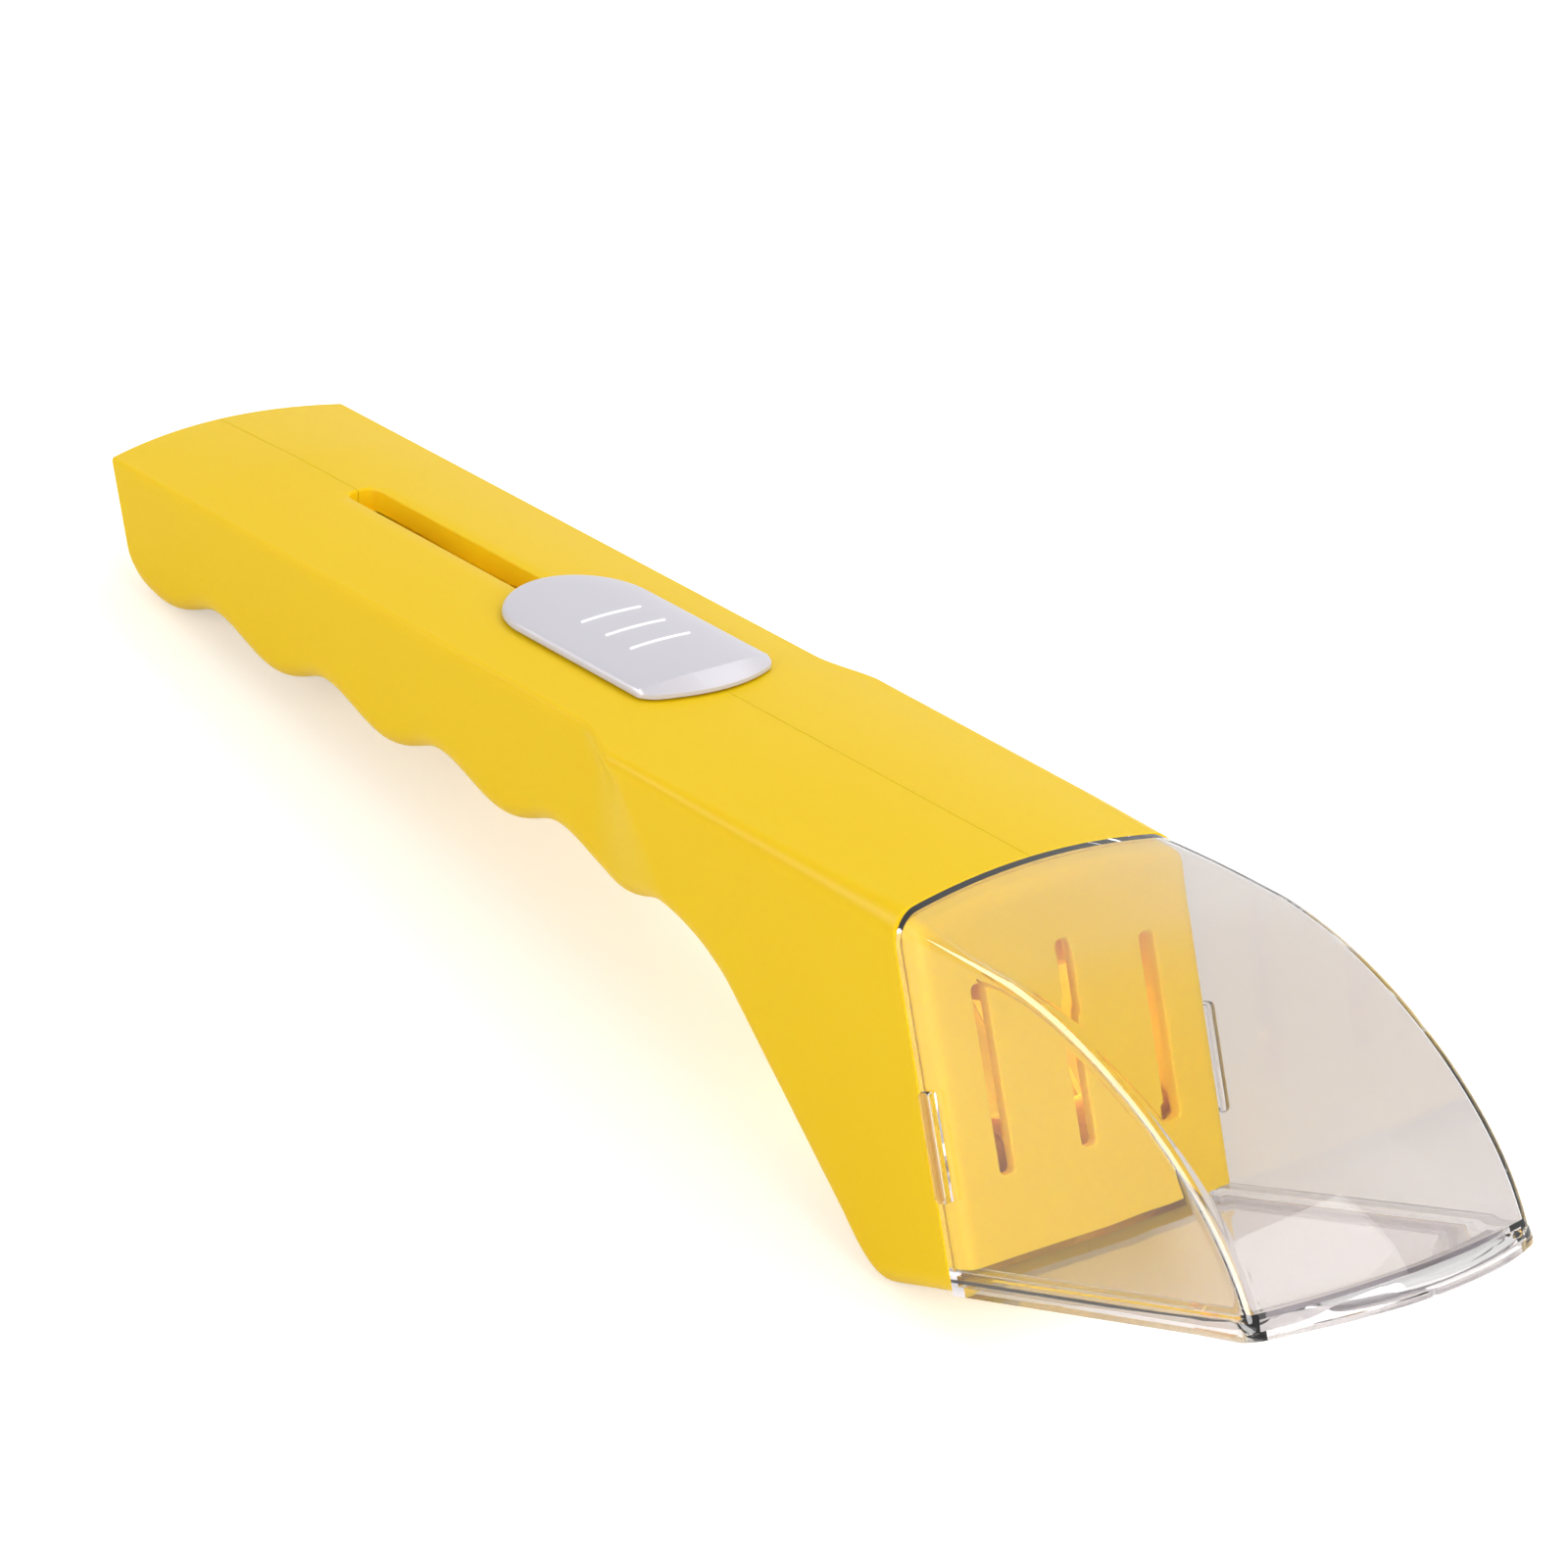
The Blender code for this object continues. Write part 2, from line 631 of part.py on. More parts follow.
def screw_cutter(side):
    """Screw holes of one shell: counterbores and clearance on the left, blind pilots on the right."""
    solid = bmesh.new()
    for x, z in boss_places():
        if side > 0:
            outside = half_width(x, z) + MARGIN
            bore, hole = SCREW_HEAD_RADIUS + GAP, SCREW_RADIUS + GAP
            profile = ((hole, -MARGIN), (hole, SEAT_Y), (bore, SEAT_Y), (bore, outside))
        else:
            hole = SCREW_RADIUS + GAP
            profile = ((hole, -PILOT_DEPTH), (hole, MARGIN))
        place = lambda a, b, height, x=x, z=z: Vector((x + a, height, z + b))
        add_loft(solid, lathe_points(profile, place, ROUND_STEPS))
    return add_object("left_holes" if side > 0 else "right_holes", solid)


def make_shells():
    """The two halves of the body, which meet at the middle plane."""
    slot, channel = slot_cutter(), door_channel()
    made = []
    for side, name in ((-1, "right_shell"), (1, "left_shell")):
        shell = add_object(name, body_half(side), "yellow")
        smooth(shell, 40)
        boolean(shell, body_cavity(side), "DIFFERENCE", "cavity")
        boolean(shell, slot, "DIFFERENCE", "slot")
        boolean(shell, channel, "DIFFERENCE", "door_channel")
        boolean(shell, screw_cutter(side), "DIFFERENCE", "screw_holes")
        made.append(shell)
    return made


# Clear cup


def hood_profile(x_rear, low_z, inset):
    """Points (x, z, nx, nz, bulge) along the hood's edge, with the normal and the middle's bulge there."""
    bend_x, bend_z = HOOD_STRAIGHT, top_z(HOOD_STRAIGHT) - crown_drop(HEAD_HALF)
    pulls = (
        (bend_x, bend_z),
        (bend_x + HOOD_REAR_PULL * math.cos(TOP_RISE), bend_z - HOOD_REAR_PULL * math.sin(TOP_RISE)),
        (CUP_LENGTH, HOOD_FRONT_PULL),
        (CUP_LENGTH, 0),
    )
    points = []
    for n in range(4):
        x = x_rear + (bend_x - x_rear) * n / 4
        points.append((x, top_z(x) - crown_drop(HEAD_HALF), TOP_RISE))
    for n in range(HOOD_STEPS + 1):
        t = n / HOOD_STEPS
        weights = ((1 - t) ** 3, 3 * t * (1 - t) ** 2, 3 * t * t * (1 - t), t**3)
        x, z = (sum(w * pull[axis] for w, pull in zip(weights, pulls)) for axis in (0, 1))
        slopes = ((1 - t) ** 2, 2 * t * (1 - t), t * t)
        dx, dz = (
            sum(w * (b[axis] - a[axis]) for w, a, b in zip(slopes, pulls, pulls[1:])) for axis in (0, 1)
        )
        points.append((x, z, math.atan2(-dz, dx)))
    profile = []
    for x, z, fall in points:
        if low_z < z < low_z + EMBED or 0 < z < low_z:
            continue
        share = (fall - TOP_RISE) / (math.pi / 2 - TOP_RISE)
        bulge = crown_drop(HEAD_HALF) + (FRONT_BULGE - crown_drop(HEAD_HALF)) * share
        nx, nz = math.sin(fall), math.cos(fall)
        profile.append((x - nx * inset, z - nz * inset, nx, nz, bulge))
    return profile


def cup_solid(x_rear, low_z, inset):
    """Solid under the hood, between the side walls, moved inwards by inset."""
    half = HEAD_HALF - inset
    radius = max(CUP_EDGE_RADIUS - inset / 2, LEAST_EDGE_RADIUS)
    turns = (math.pi / 2, 0.9, 0.4, 0)
    stations = [(half - radius * (1 - math.sin(t)), radius * (1 - math.cos(t))) for t in turns]
    stations += [(half * share, 0) for share in (0.8, 0.55, 0.28)]
    sides = [(-y, drop) for y, drop in stations] + [(0, 0)] + [(y, drop) for y, drop in reversed(stations)]
    profile = hood_profile(x_rear, low_z, inset)
    solid = bmesh.new()
    loops = []
    for y, drop in sides:
        loop = [(x_rear, y, low_z)]
        for n, (x, z, nx, nz, bulge) in enumerate(profile):
            out = bulge * (1 - (y / HEAD_HALF) ** 2) - drop
            if n == 0:
                loop.append((x_rear, y, z + out / nz - nx * (x_rear - x)))
            elif n == len(profile) - 1:
                loop.append((x + out, y, low_z))
            else:
                loop.append((x + nx * out, y, z + nz * out))
        loops.append(loop)
    add_loft(solid, loops)
    return solid


def front_curve(x, bulge, half, steps):
    """Points (x, y) of a front edge that bulges forward in its middle."""
    ys = [half * (2 * n / steps - 1) for n in range(steps + 1)]
    return [(x + bulge * (1 - (y / half) ** 2), y) for y in ys]


def plan_outline(x_rear, x_front, bulge, half):
    """Outline (x, y) of a piece of the door's track, with a bulging front."""
    return front_curve(x_front, bulge, half, 10) + [(x_rear, half), (x_rear, -half)]


def lip_outline(reach, side, bulge):
    """Outline (x, y) of the front lip, with rounded corners."""
    half = HEAD_HALF + side
    corner_y = half - LIP_CORNER
    front = CUP_LENGTH + reach
    outline = front_curve(front, bulge, corner_y, 10)
    corner = []
    for step in range(1, ARC_STEPS + 1):
        turn = math.pi / 2 * step / ARC_STEPS
        x = front - LIP_CORNER + LIP_CORNER * math.cos(turn)
        corner.append((x, corner_y + LIP_CORNER * math.sin(turn)))
    rear = CUP_LENGTH - 3 * LIP_CORNER
    outline += corner + [(rear, HEAD_HALF - EMBED / 2), (rear, EMBED / 2 - HEAD_HALF)]
    return outline + [(x, -y) for x, y in reversed(corner)]


def lip_pad():
    """Outline (x, y) of the pad on the lip's front, which gives a nail some hold."""
    corner_y = HEAD_HALF + LIP_SIDE - LIP_CORNER
    front, back = [], []
    for n in range(9):
        y = LIP_PAD_START + (LIP_PAD_END - LIP_PAD_START) * n / 8
        x = CUP_LENGTH + LIP_REACH + LIP_BULGE * (1 - (y / corner_y) ** 2)
        front.append((x + (-LIP_PAD_REACH if n in (0, 8) else LIP_PAD_REACH), y))
        back.append((x - LIP_REACH, y))
    return front + back[::-1]


def make_cup():
    """The clear cup, with its door track, front lip and snap tabs."""
    cup = add_object("cup", cup_solid(GAP, -EMBED, 0), "clear")
    smooth(cup, 32)
    extra = bmesh.new()
    rings = (
        (-MARGIN, LIP_REACH, LIP_SIDE, LIP_BULGE),
        (LIP_EDGE, LIP_REACH, LIP_SIDE, LIP_BULGE),
        (LIP_TOP_Z, -EMBED, -EMBED, FRONT_BULGE),
    )
    add_loft(extra, [[(x, y, z) for x, y in lip_outline(*sizes)] for z, *sizes in rings])
    for side in (-1, 1):
        spans = ((2 * GAP, 2 * GAP + TAB_LENGTH), (TAB_LOW_Z, TAB_HIGH_Z))
        outline = rounded_box(spans, TAB_LENGTH / 3)
        low, high = sorted((side * (HEAD_HALF - EMBED), side * (HEAD_HALF + TAB_HEIGHT)))
        add_prism(extra, outline, across_point, low, high)
    boolean(cup, add_object("cup_extras", extra), "UNION", "lip_and_tabs")
    pad = bmesh.new()
    add_prism(pad, lip_pad(), tool_point, -MARGIN / 2, LIP_PAD_HEIGHT)
    boolean(cup, add_object("cup_pad", pad), "UNION", "lip_pad")
    below = bmesh.new()
    spans = ((-MARGIN, CUP_LENGTH * 2), (-HEAD_WIDTH, HEAD_WIDTH), (-2 * MARGIN, 0))
    add_block(below, tool_point, spans)
    boolean(cup, add_object("rim_plane_cutter", below), "DIFFERENCE", "flat_rim")
    hollow = add_object("cup_hollow_cutter", cup_solid(-MARGIN, RAIL_TOP_Z, CUP_WALL))
    boolean(cup, hollow, "DIFFERENCE", "hollow")
    mouth = bmesh.new()
    outline = plan_outline(-MARGIN, BAR_FRONT_X + GAP, BAR_BULGE, RAIL_IN)
    add_prism(mouth, outline, tool_point, -MARGIN, RAIL_TOP_Z + EMBED)
    boolean(cup, add_object("mouth_cutter", mouth), "DIFFERENCE", "mouth")
    groove = bmesh.new()
    outline = plan_outline(-MARGIN, GROOVE_FRONT_X, FRONT_BULGE, SHEET_HALF + GAP)
    add_prism(groove, outline, tool_point, GROOVE_LOW_Z, GROOVE_HIGH_Z)
    boolean(cup, add_object("groove_cutter", groove), "DIFFERENCE", "door_groove")
    pockets = bmesh.new()
    for side in (-1, 1):
        inner = HEAD_HALF - CUP_WALL
        spans = ((-MARGIN, 2 * GAP + TAB_LENGTH - GAP), (TAB_LOW_Z + GAP, TAB_HIGH_Z - GAP))
        (a0, a1), (b0, b1) = spans
        low, high = sorted((side * (inner - EMBED), side * (inner + CATCH_HEIGHT)))
        add_prism(pockets, [(a0, b0), (a1, b0), (a1, b1), (a0, b1)], across_point, low, high)
    boolean(cup, add_object("snap_pocket_cutter", pockets), "DIFFERENCE", "snap_pockets")
    return cup


# Front plate


def make_front_plate():
    """The wall behind the cup, with three air slots, snap catches and two screw ears."""
    rear_inset, front_inset = BODY_WALL + GAP, CUP_WALL + GAP
    solid = bmesh.new()
    loops = [
        rim_loop(PLATE_REAR_X, rear_inset, PLATE_LOW_Z),
        rim_loop(0, rear_inset, PLATE_LOW_Z),
        rim_loop(GAP, front_inset, PLATE_LOW_Z),
    ]
    for step in range(ARC_STEPS + 1):
        turn = math.pi / 2 * step / ARC_STEPS
        x = PLATE_FRONT_X - PLATE_EDGE_RADIUS * (1 - math.sin(turn))
        inset = front_inset + PLATE_EDGE_RADIUS * (1 - math.cos(turn))
        loops.append(rim_loop(x, inset, PLATE_LOW_Z))
    add_loft(solid, loops)
    plate = add_object("front_plate", solid, "yellow")
    smooth(plate, 40)
    hollow = bmesh.new()
    ends = (PLATE_REAR_X - MARGIN, PLATE_FRONT_X - PLATE_WALL)
    add_loft(hollow, [rim_loop(x, rear_inset + PLATE_WALL, PLATE_LOW_Z + PLATE_WALL) for x in ends])
    boolean(plate, add_object("plate_hollow_cutter", hollow), "DIFFERENCE", "hollow")
    extra = bmesh.new()
    for x, z in boss_places()[-2:]:
        reach = BOSS_RADIUS + GAP + EAR_RIM
        face = PLATE_FRONT_X - PLATE_WALL + EMBED
        outline = [(face, z - reach), (face, z + reach)]
        for n in range(11):
            turn = math.pi / 2 + math.pi * n / 10
            outline.append((x + reach * math.cos(turn), z + reach * math.sin(turn)))
        add_prism(extra, outline, across_point, EAR_Y - EAR_THICK / 2, EAR_Y + EAR_THICK / 2)
    for side in (-1, 1):
        spans = ((3 * GAP, TAB_LENGTH - GAP), (TAB_LOW_Z + 2 * GAP, TAB_HIGH_Z - 2 * GAP))
        outline = rounded_box(spans, TAB_LENGTH / 6)
        inner = HEAD_HALF - front_inset
        low, high = sorted((side * (inner - EMBED), side * (inner + CATCH_HEIGHT - GAP)))
        add_prism(extra, outline, across_point, low, high)
    boolean(plate, add_object("plate_extras", extra), "UNION", "ears_and_catches")
    cuts = bmesh.new()
    for x, z in boss_places()[-2:]:
        low, high = EAR_Y - EAR_THICK / 2 - MARGIN, EAR_Y + EAR_THICK / 2 + MARGIN
        add_prism(cuts, circle(x, z, BOSS_RADIUS + GAP), across_point, low, high)
    for place in (-1, 0, 1):
        top = VENT_SIDE_TOP_Z if place else VENT_MIDDLE_TOP_Z
        middle = place * VENT_PITCH
        spans = ((middle - VENT_WIDTH / 2, middle + VENT_WIDTH / 2), (VENT_LOW_Z, top))
        outline = rounded_box(spans, VENT_CORNER)
        ends = (PLATE_FRONT_X - PLATE_WALL - MARGIN / 4, PLATE_FRONT_X + MARGIN)
        add_loft(cuts, [[(x, y, z) for y, z in outline] for x in ends])
    boolean(plate, add_object("vent_cutter", cuts), "DIFFERENCE", "vents_and_ear_holes")
    return plate


# Door


def sheet_stations():
    """Stations (s, half width) of the door sheet, from its front edge to its tail."""
    front = PATH.start_x - GROOVE_FRONT_X + GAP
    stations = []
    for share in (0.12, 0.45, 0.7, 0.88, 1):
        stations.append((front - FRONT_BULGE * (1 - share * share), SHEET_HALF * share))
    wide_end = PATH.start_x + SHEET_BEHIND_RIM
    last = PATH.length_to(CARRIAGE_FRONT_U + CARRIAGE_LENGTH)
    places = [wide_end, wide_end + SHEET_TAPER, last]
    for start, length, steps in ((0, PATH.first_arc, 9), (PATH.second_start, PATH.second_arc, 8)):
        places += [start + length * n / steps for n in range(steps + 1)]
    for s in sorted(places):
        if s - stations[-1][0] > HALF_GAP:
            share = min(max((s - wide_end) / SHEET_TAPER, 0), 1)
            stations.append((s, SHEET_HALF + (TAIL_WIDTH / 2 - SHEET_HALF) * share))
    return stations


def make_door():
    """The clear flexible sheet that closes the mouth, and the stiff bar on its front edge."""
    solid = bmesh.new()
    loops = []
    for s, half in sheet_stations():
        x, z, turn = PATH.at(s)
        low, high = (turned(x, z, turn, part * SHEET_THICK / 2) for part in (-1, 1))
        loops.append(strip_loop(low, high, half))
    add_loft(solid, loops)
    sheet = add_object("door_sheet", solid, "clear")
    smooth(sheet, 30)
    holes = bmesh.new()
    for place in (-1, 1):
        middle = NECK_MIDDLE_U + place * CLAMP_SCREW_PITCH / 2
        hole = circle(middle, 0, CLAMP_SCREW_RADIUS + GAP)
        add_prism(holes, hole, handle_point, -TAIL_DROP - MARGIN, -TAIL_DROP + MARGIN)
    boolean(sheet, add_object("sheet_hole_cutter", holes), "DIFFERENCE", "screw_holes")
    solid = bmesh.new()
    half = RAIL_IN - GAP
    front = front_curve(BAR_FRONT_X, BAR_BULGE, half, 12)
    outline = front + [(x - BAR_DEPTH, y) for x, y in reversed(front)]
    add_prism(solid, outline, tool_point, BAR_LOW_Z, BAR_LOW_Z + BAR_HEIGHT)
    bar = add_object("door_edge_bar", solid, "smoke")
    edge = bar.modifiers.new("edges", "BEVEL")
    edge.width = BAR_HEIGHT / 5
    edge.segments = 1
    edge.limit_method = "ANGLE"
    return [sheet, bar]


# Thumb slide


def button_front(y):
    """Front edge u of the thumb slide at y, a shallow arc with rounded corners."""
    corner_y = BUTTON_WIDTH / 2 - BUTTON_CORNER
    if abs(y) <= corner_y:
        return BUTTON_FRONT_U + BUTTON_FRONT_SAG * (y / corner_y) ** 2
    wide = BUTTON_CORNER + HALF_GAP
    across = min(abs(y) - corner_y, wide)
    return BUTTON_FRONT_U + BUTTON_FRONT_SAG + BUTTON_CORNER - math.sqrt(wide * wide - across * across)


def button_blank():
    """Outline (u, y) of the thumb slide with its round rear end, before its front is cut to shape."""
    half = BUTTON_WIDTH / 2
    front, round_u = BUTTON_FRONT_U - MARGIN, BUTTON_REAR_U - BUTTON_REAR_ROUND
    side = [(front, half * n / 4) for n in range(4)]
    side += [(front + (round_u - front) * n / 7, half) for n in range(7)]
    for n in range(11):
        turn = math.pi / 2 * n / 10
        side.append((round_u + BUTTON_REAR_ROUND * math.sin(turn), half * math.cos(turn)))
    return side + [(u, -y) for u, y in reversed(side[1:-1])]


def button_top(u, y):
    """Height of the thumb slide's top above its underside, crowned, with a ridge that fades rearwards."""
    half = BUTTON_WIDTH / 2
    back = max(u - BUTTON_REAR_U + BUTTON_REAR_ROUND, 0) / BUTTON_REAR_ROUND
    edge = min(math.hypot(back, y / half), 1)
    fade = min(max((u - BUTTON_FRONT_U - BUTTON_RIDGE_BACK) / BUTTON_RIDGE_FADE, 0), 1)
    middle = BUTTON_TOP + (BUTTON_CREST - BUTTON_TOP) * (1 - fade) ** 2
    deep = max(BUTTON_EDGE_RADIUS - (1 - edge) * half, 0)
    rounding = BUTTON_EDGE_RADIUS - math.sqrt(max(BUTTON_EDGE_RADIUS**2 - deep * deep, 0))
    return BUTTON_SIDE_HEIGHT + (middle - BUTTON_SIDE_HEIGHT) * (1 - edge * edge) - rounding


def button_front_cutter():
    """Cutter that gives the thumb slide its arched front edge and the sloping face above it."""
    solid = bmesh.new()
    half = BUTTON_WIDTH / 2
    corner_y = half - BUTTON_CORNER
    slope = (BUTTON_CREST - BUTTON_LENS_LOW) / BUTTON_RIDGE_BACK
    side = [corner_y * n / 5 for n in range(6)]
    side += [corner_y + (BUTTON_CORNER + HALF_GAP) * math.sin(math.pi / 2 * n / 5) for n in range(1, 6)]
    side.append(half + MARGIN)
    loops = []
    for y in [-y for y in reversed(side[1:])] + side:
        front, far = button_front(y), BUTTON_FRONT_U - 2 * MARGIN
        base = SLIDE_GAP + BUTTON_LENS_LOW - crown_drop(y)
        back, rise = 2 * BUTTON_RIDGE_BACK, 2 * BUTTON_RIDGE_BACK * slope
        low, high = -MARGIN, base + rise + MARGIN
        outline = [(far, low), (front, low), (front, base)]
        outline += [(front + back, base + rise), (front + back, high), (far, high)]
        loops.append([handle_point(u, y, h) for u, h in outline])
    add_loft(solid, loops)
    return add_object("button_front_cutter", solid)


def make_button():
    """The thumb slide: a crowned pad with three grip lines and a neck through the slot."""
    outline = button_blank()
    middle_u = (BUTTON_FRONT_U + BUTTON_REAR_U) / 2
    solid = bmesh.new()
    rows = []
    under_shares, top_shares = (0.25, 0.6, 1), (1, 0.99, 0.975, 0.955, 0.85, 0.7, 0.5, 0.27)
    for share, on_top in [(n, 0) for n in under_shares] + [(n, 1) for n in top_shares]:
        row = []
        for edge_u, edge_y in outline:
            u, y = middle_u + share * (edge_u - middle_u), share * edge_y
            height = SLIDE_GAP - crown_drop(y) + (button_top(u, y) if on_top else 0)
            row.append(solid.verts.new(handle_point(u, y, height)))
        rows.append(row)
    count = len(outline)
    for low, high in zip(rows, rows[1:]):
        for n in range(count):
            after = (n + 1) % count
            solid.faces.new((low[n], low[after], high[after], high[n]))
    for row, height in ((rows[0], SLIDE_GAP), (rows[-1], SLIDE_GAP + button_top(middle_u, 0))):
        pole = solid.verts.new(handle_point(middle_u, 0, height))
        for n in range(count):
            solid.faces.new((row[n], row[(n + 1) % count], pole))
    button = add_object("thumb_slide", solid, "grey")
    smooth(button, 38)
    boolean(button, button_front_cutter(), "DIFFERENCE", "front_face")
    extra = bmesh.new()
    half_neck = SLOT_WIDTH / 2 - SLIDE_GAP
    neck = ((NECK_FRONT_U, NECK_FRONT_U + NECK_LENGTH), (-half_neck, half_neck))
    add_prism(extra, rounded_box(neck, half_neck * 0.7), handle_point, GAP - CARRIAGE_DROP, SLIDE_GAP + EMBED)
    for n in range(3):
        middle = BUTTON_FRONT_U + BUTTON_RIB_BACK + n * BUTTON_RIB_PITCH
        loops = []
        for step in range(7):
            y = BUTTON_RIB_HALF * (step / 3 - 1)
            top = SLIDE_GAP + button_top(middle, y) - crown_drop(y)
            end = BUTTON_RIB_WIDTH / 2 * (0.5 if step in (0, 6) else 1)
            crest = ((end / 2, BUTTON_RIB_HEIGHT), (-end / 2, BUTTON_RIB_HEIGHT))
            corners = ((-end, -EMBED), (end, -EMBED), *crest)
            loops.append([handle_point(middle + a, y, top + h) for a, h in corners])
        add_loft(extra, loops)
    boolean(button, add_object("button_extras", extra), "UNION", "neck_and_ribs")
    holes = bmesh.new()
    for place in (-1, 1):
        middle = NECK_MIDDLE_U + place * CLAMP_SCREW_PITCH / 2
        hole = circle(middle, 0, CLAMP_SCREW_RADIUS + GAP, 12)
        deep = CLAMP_SCREW_LENGTH - CLAMP_DROP - CLAMP_THICK - GAP
        add_prism(holes, hole, handle_point, -CARRIAGE_DROP - MARGIN, deep + GAP)
    boolean(button, add_object("button_hole_cutter", holes), "DIFFERENCE", "screw_holes")
    return button


def make_carriage():
    """The carriage that rides on the handle's ledges, and the plate that clamps the sheet to it."""
    shoe, waist = CARRIAGE_WIDTH / 2, CARRIAGE_WAIST / 2
    front, rear = CARRIAGE_FRONT_U, CARRIAGE_FRONT_U + CARRIAGE_LENGTH
    side = [(front, shoe), (front + SHOE_LENGTH, shoe), (front + SHOE_LENGTH, waist)]
    side += [(rear - SHOE_LENGTH, waist), (rear - SHOE_LENGTH, shoe), (rear, shoe)]
    outline = side + [(u, -y) for u, y in reversed(side)]
    solid = bmesh.new()
    add_prism(solid, outline, handle_point, -CARRIAGE_LOW, -CARRIAGE_DROP)
    carriage = add_object("carriage", solid, "white")
    solid = bmesh.new()
    spans = (
        (NECK_MIDDLE_U - CLAMP_LENGTH / 2, NECK_MIDDLE_U + CLAMP_LENGTH / 2),
        (-CLAMP_WIDTH / 2, CLAMP_WIDTH / 2),
    )
    outline = rounded_box(spans, CLAMP_THICK)
    add_prism(solid, outline, handle_point, -CLAMP_DROP - CLAMP_THICK, -CLAMP_DROP)
    clamp = add_object("sheet_clamp", solid, "white")
    for piece, name in ((carriage, "carriage_hole_cutter"), (clamp, "clamp_hole_cutter")):
        holes = bmesh.new()
        for place in (-1, 1):
            middle = NECK_MIDDLE_U + place * CLAMP_SCREW_PITCH / 2
            hole = circle(middle, 0, CLAMP_SCREW_RADIUS + GAP, 12)
            add_prism(holes, hole, handle_point, -CLAMP_DROP - CLAMP_THICK - MARGIN, MARGIN)
        boolean(piece, add_object(name, holes), "DIFFERENCE", "screw_holes")
        edge = piece.modifiers.new("edges", "BEVEL")
        edge.width = GAP
        edge.segments = 1
        edge.limit_method = "ANGLE"
    return [carriage, clamp]


# Screws


def make_screw(name, place, head_radius, head_height, radius, length, cross):
    """A pan-head screw with ring threads and a cross recess, its head's seat at height zero."""
    profile = [(head_radius * 0.62, head_height), (head_radius * 0.9, head_height * 0.72)]
    profile += [(head_radius, head_height * 0.35), (head_radius, 0), (radius - THREAD_DEPTH, 0)]
    rings = int(length / 2 / THREAD_PITCH)
    start = length - rings * THREAD_PITCH - radius
    for n in range(rings):
        at = start + n * THREAD_PITCH
        profile += [(radius - THREAD_DEPTH, -at), (radius, -at - THREAD_PITCH / 2)]
    profile += [(radius - THREAD_DEPTH, -length + radius), (radius * 0.25, -length)]
    solid = bmesh.new()
    add_loft(solid, lathe_points(profile, place, 10))
    screw = add_object(name, solid, "steel")
    smooth(screw, 50)
    recess = bmesh.new()
    thin, wide = CROSS_WIDTH / 2, cross / 2
    arms = [(thin, wide), (thin, thin), (wide, thin)]
    outline = arms + [(a, -b) for a, b in reversed(arms)]
    outline += [(-a, -b) for a, b in arms] + [(-a, b) for a, b in reversed(arms)]
    add_prism(recess, outline, place, head_height - CROSS_DEPTH, head_height + MARGIN)
    boolean(screw, add_object(name + "_recess_cutter", recess), "DIFFERENCE", "cross_recess")
    return screw


def make_screws():
    """The five screws of the body and the two of the clamp."""
    made = []
    for n, (x, z) in enumerate(boss_places(), 1):
        place = lambda a, b, h, x=x, z=z: Vector((x + a, SEAT_Y + GAP + h, z + b))
        sizes = (SCREW_HEAD_RADIUS, SCREW_HEAD_HEIGHT, SCREW_RADIUS, SCREW_LENGTH, CROSS_SPAN)
        made.append(make_screw(f"body_screw_{n}", place, *sizes))
    for n, side in enumerate((-1, 1), 1):
        middle = NECK_MIDDLE_U + side * CLAMP_SCREW_PITCH / 2
        seat = -CLAMP_DROP - CLAMP_THICK - GAP
        place = lambda a, b, h, u=middle, seat=seat: handle_point(u + a, b, seat - h)
        sizes = (CLAMP_HEAD_RADIUS, CLAMP_HEAD_HEIGHT, CLAMP_SCREW_RADIUS, CLAMP_SCREW_LENGTH)
        made.append(make_screw(f"clamp_screw_{n}", place, *sizes, CLAMP_CROSS_SPAN))
    return made


# Rest pose


def rest_turn():
    """Angle that lays the tool on the two lowest lines of its belly and its handle's end."""
    chain = []
    for x, shrink in body_stations(REAR_EDGE_RADIUS, 0, WAVE_PITCH / 8):
        point = (arched(x, 0, HANDLE_HALF), under_z(x) + shrink)
        while len(chain) > 1:
            (x0, z0), (x1, z1) = chain[-2:]
            if (x1 - x0) * (point[1] - z0) - (z1 - z0) * (point[0] - x0) > 0:
                break
            chain.pop()
        chain.append(point)
    spans = [(b[0] - a[0], b[1] - a[1]) for a, b in zip(chain, chain[1:])]
    run, rise = max(spans)
    return math.atan2(rise, run)


def finished_corners(items):
    """Places of all vertices of the finished pieces, with every cut and join made."""
    bpy.context.view_layer.update()
    graph = bpy.context.evaluated_depsgraph_get()
    corners = []
    for item in items:
        finished = item.evaluated_get(graph)
        corners += [v.co.copy() for v in finished.to_mesh().vertices]
        finished.to_mesh_clear()
    return corners


def lay_down(moving):
    """Turn the tool to its rest pose and centre it on the floor, with each origin in its place."""
    turn = Matrix.Rotation(rest_turn(), 4, "Y")
    items = list(bpy.context.scene.objects)
    for item in items:
        item.data.transform(turn)
    corners = finished_corners([item for item in items if not item.hide_render])
    low = Vector([min(c[axis] for c in corners) for axis in range(3)])
    high = Vector([max(c[axis] for c in corners) for axis in range(3)])
    shift = Vector((-(low.x + high.x) / 2, -(low.y + high.y) / 2, -low.z))
    for item in items:
        item.data.transform(Matrix.Translation(shift))
    for item, origin in moving:
        at = turn @ origin + shift
        item.data.transform(Matrix.Translation(-at))
        item.location = at
    return turn, shift


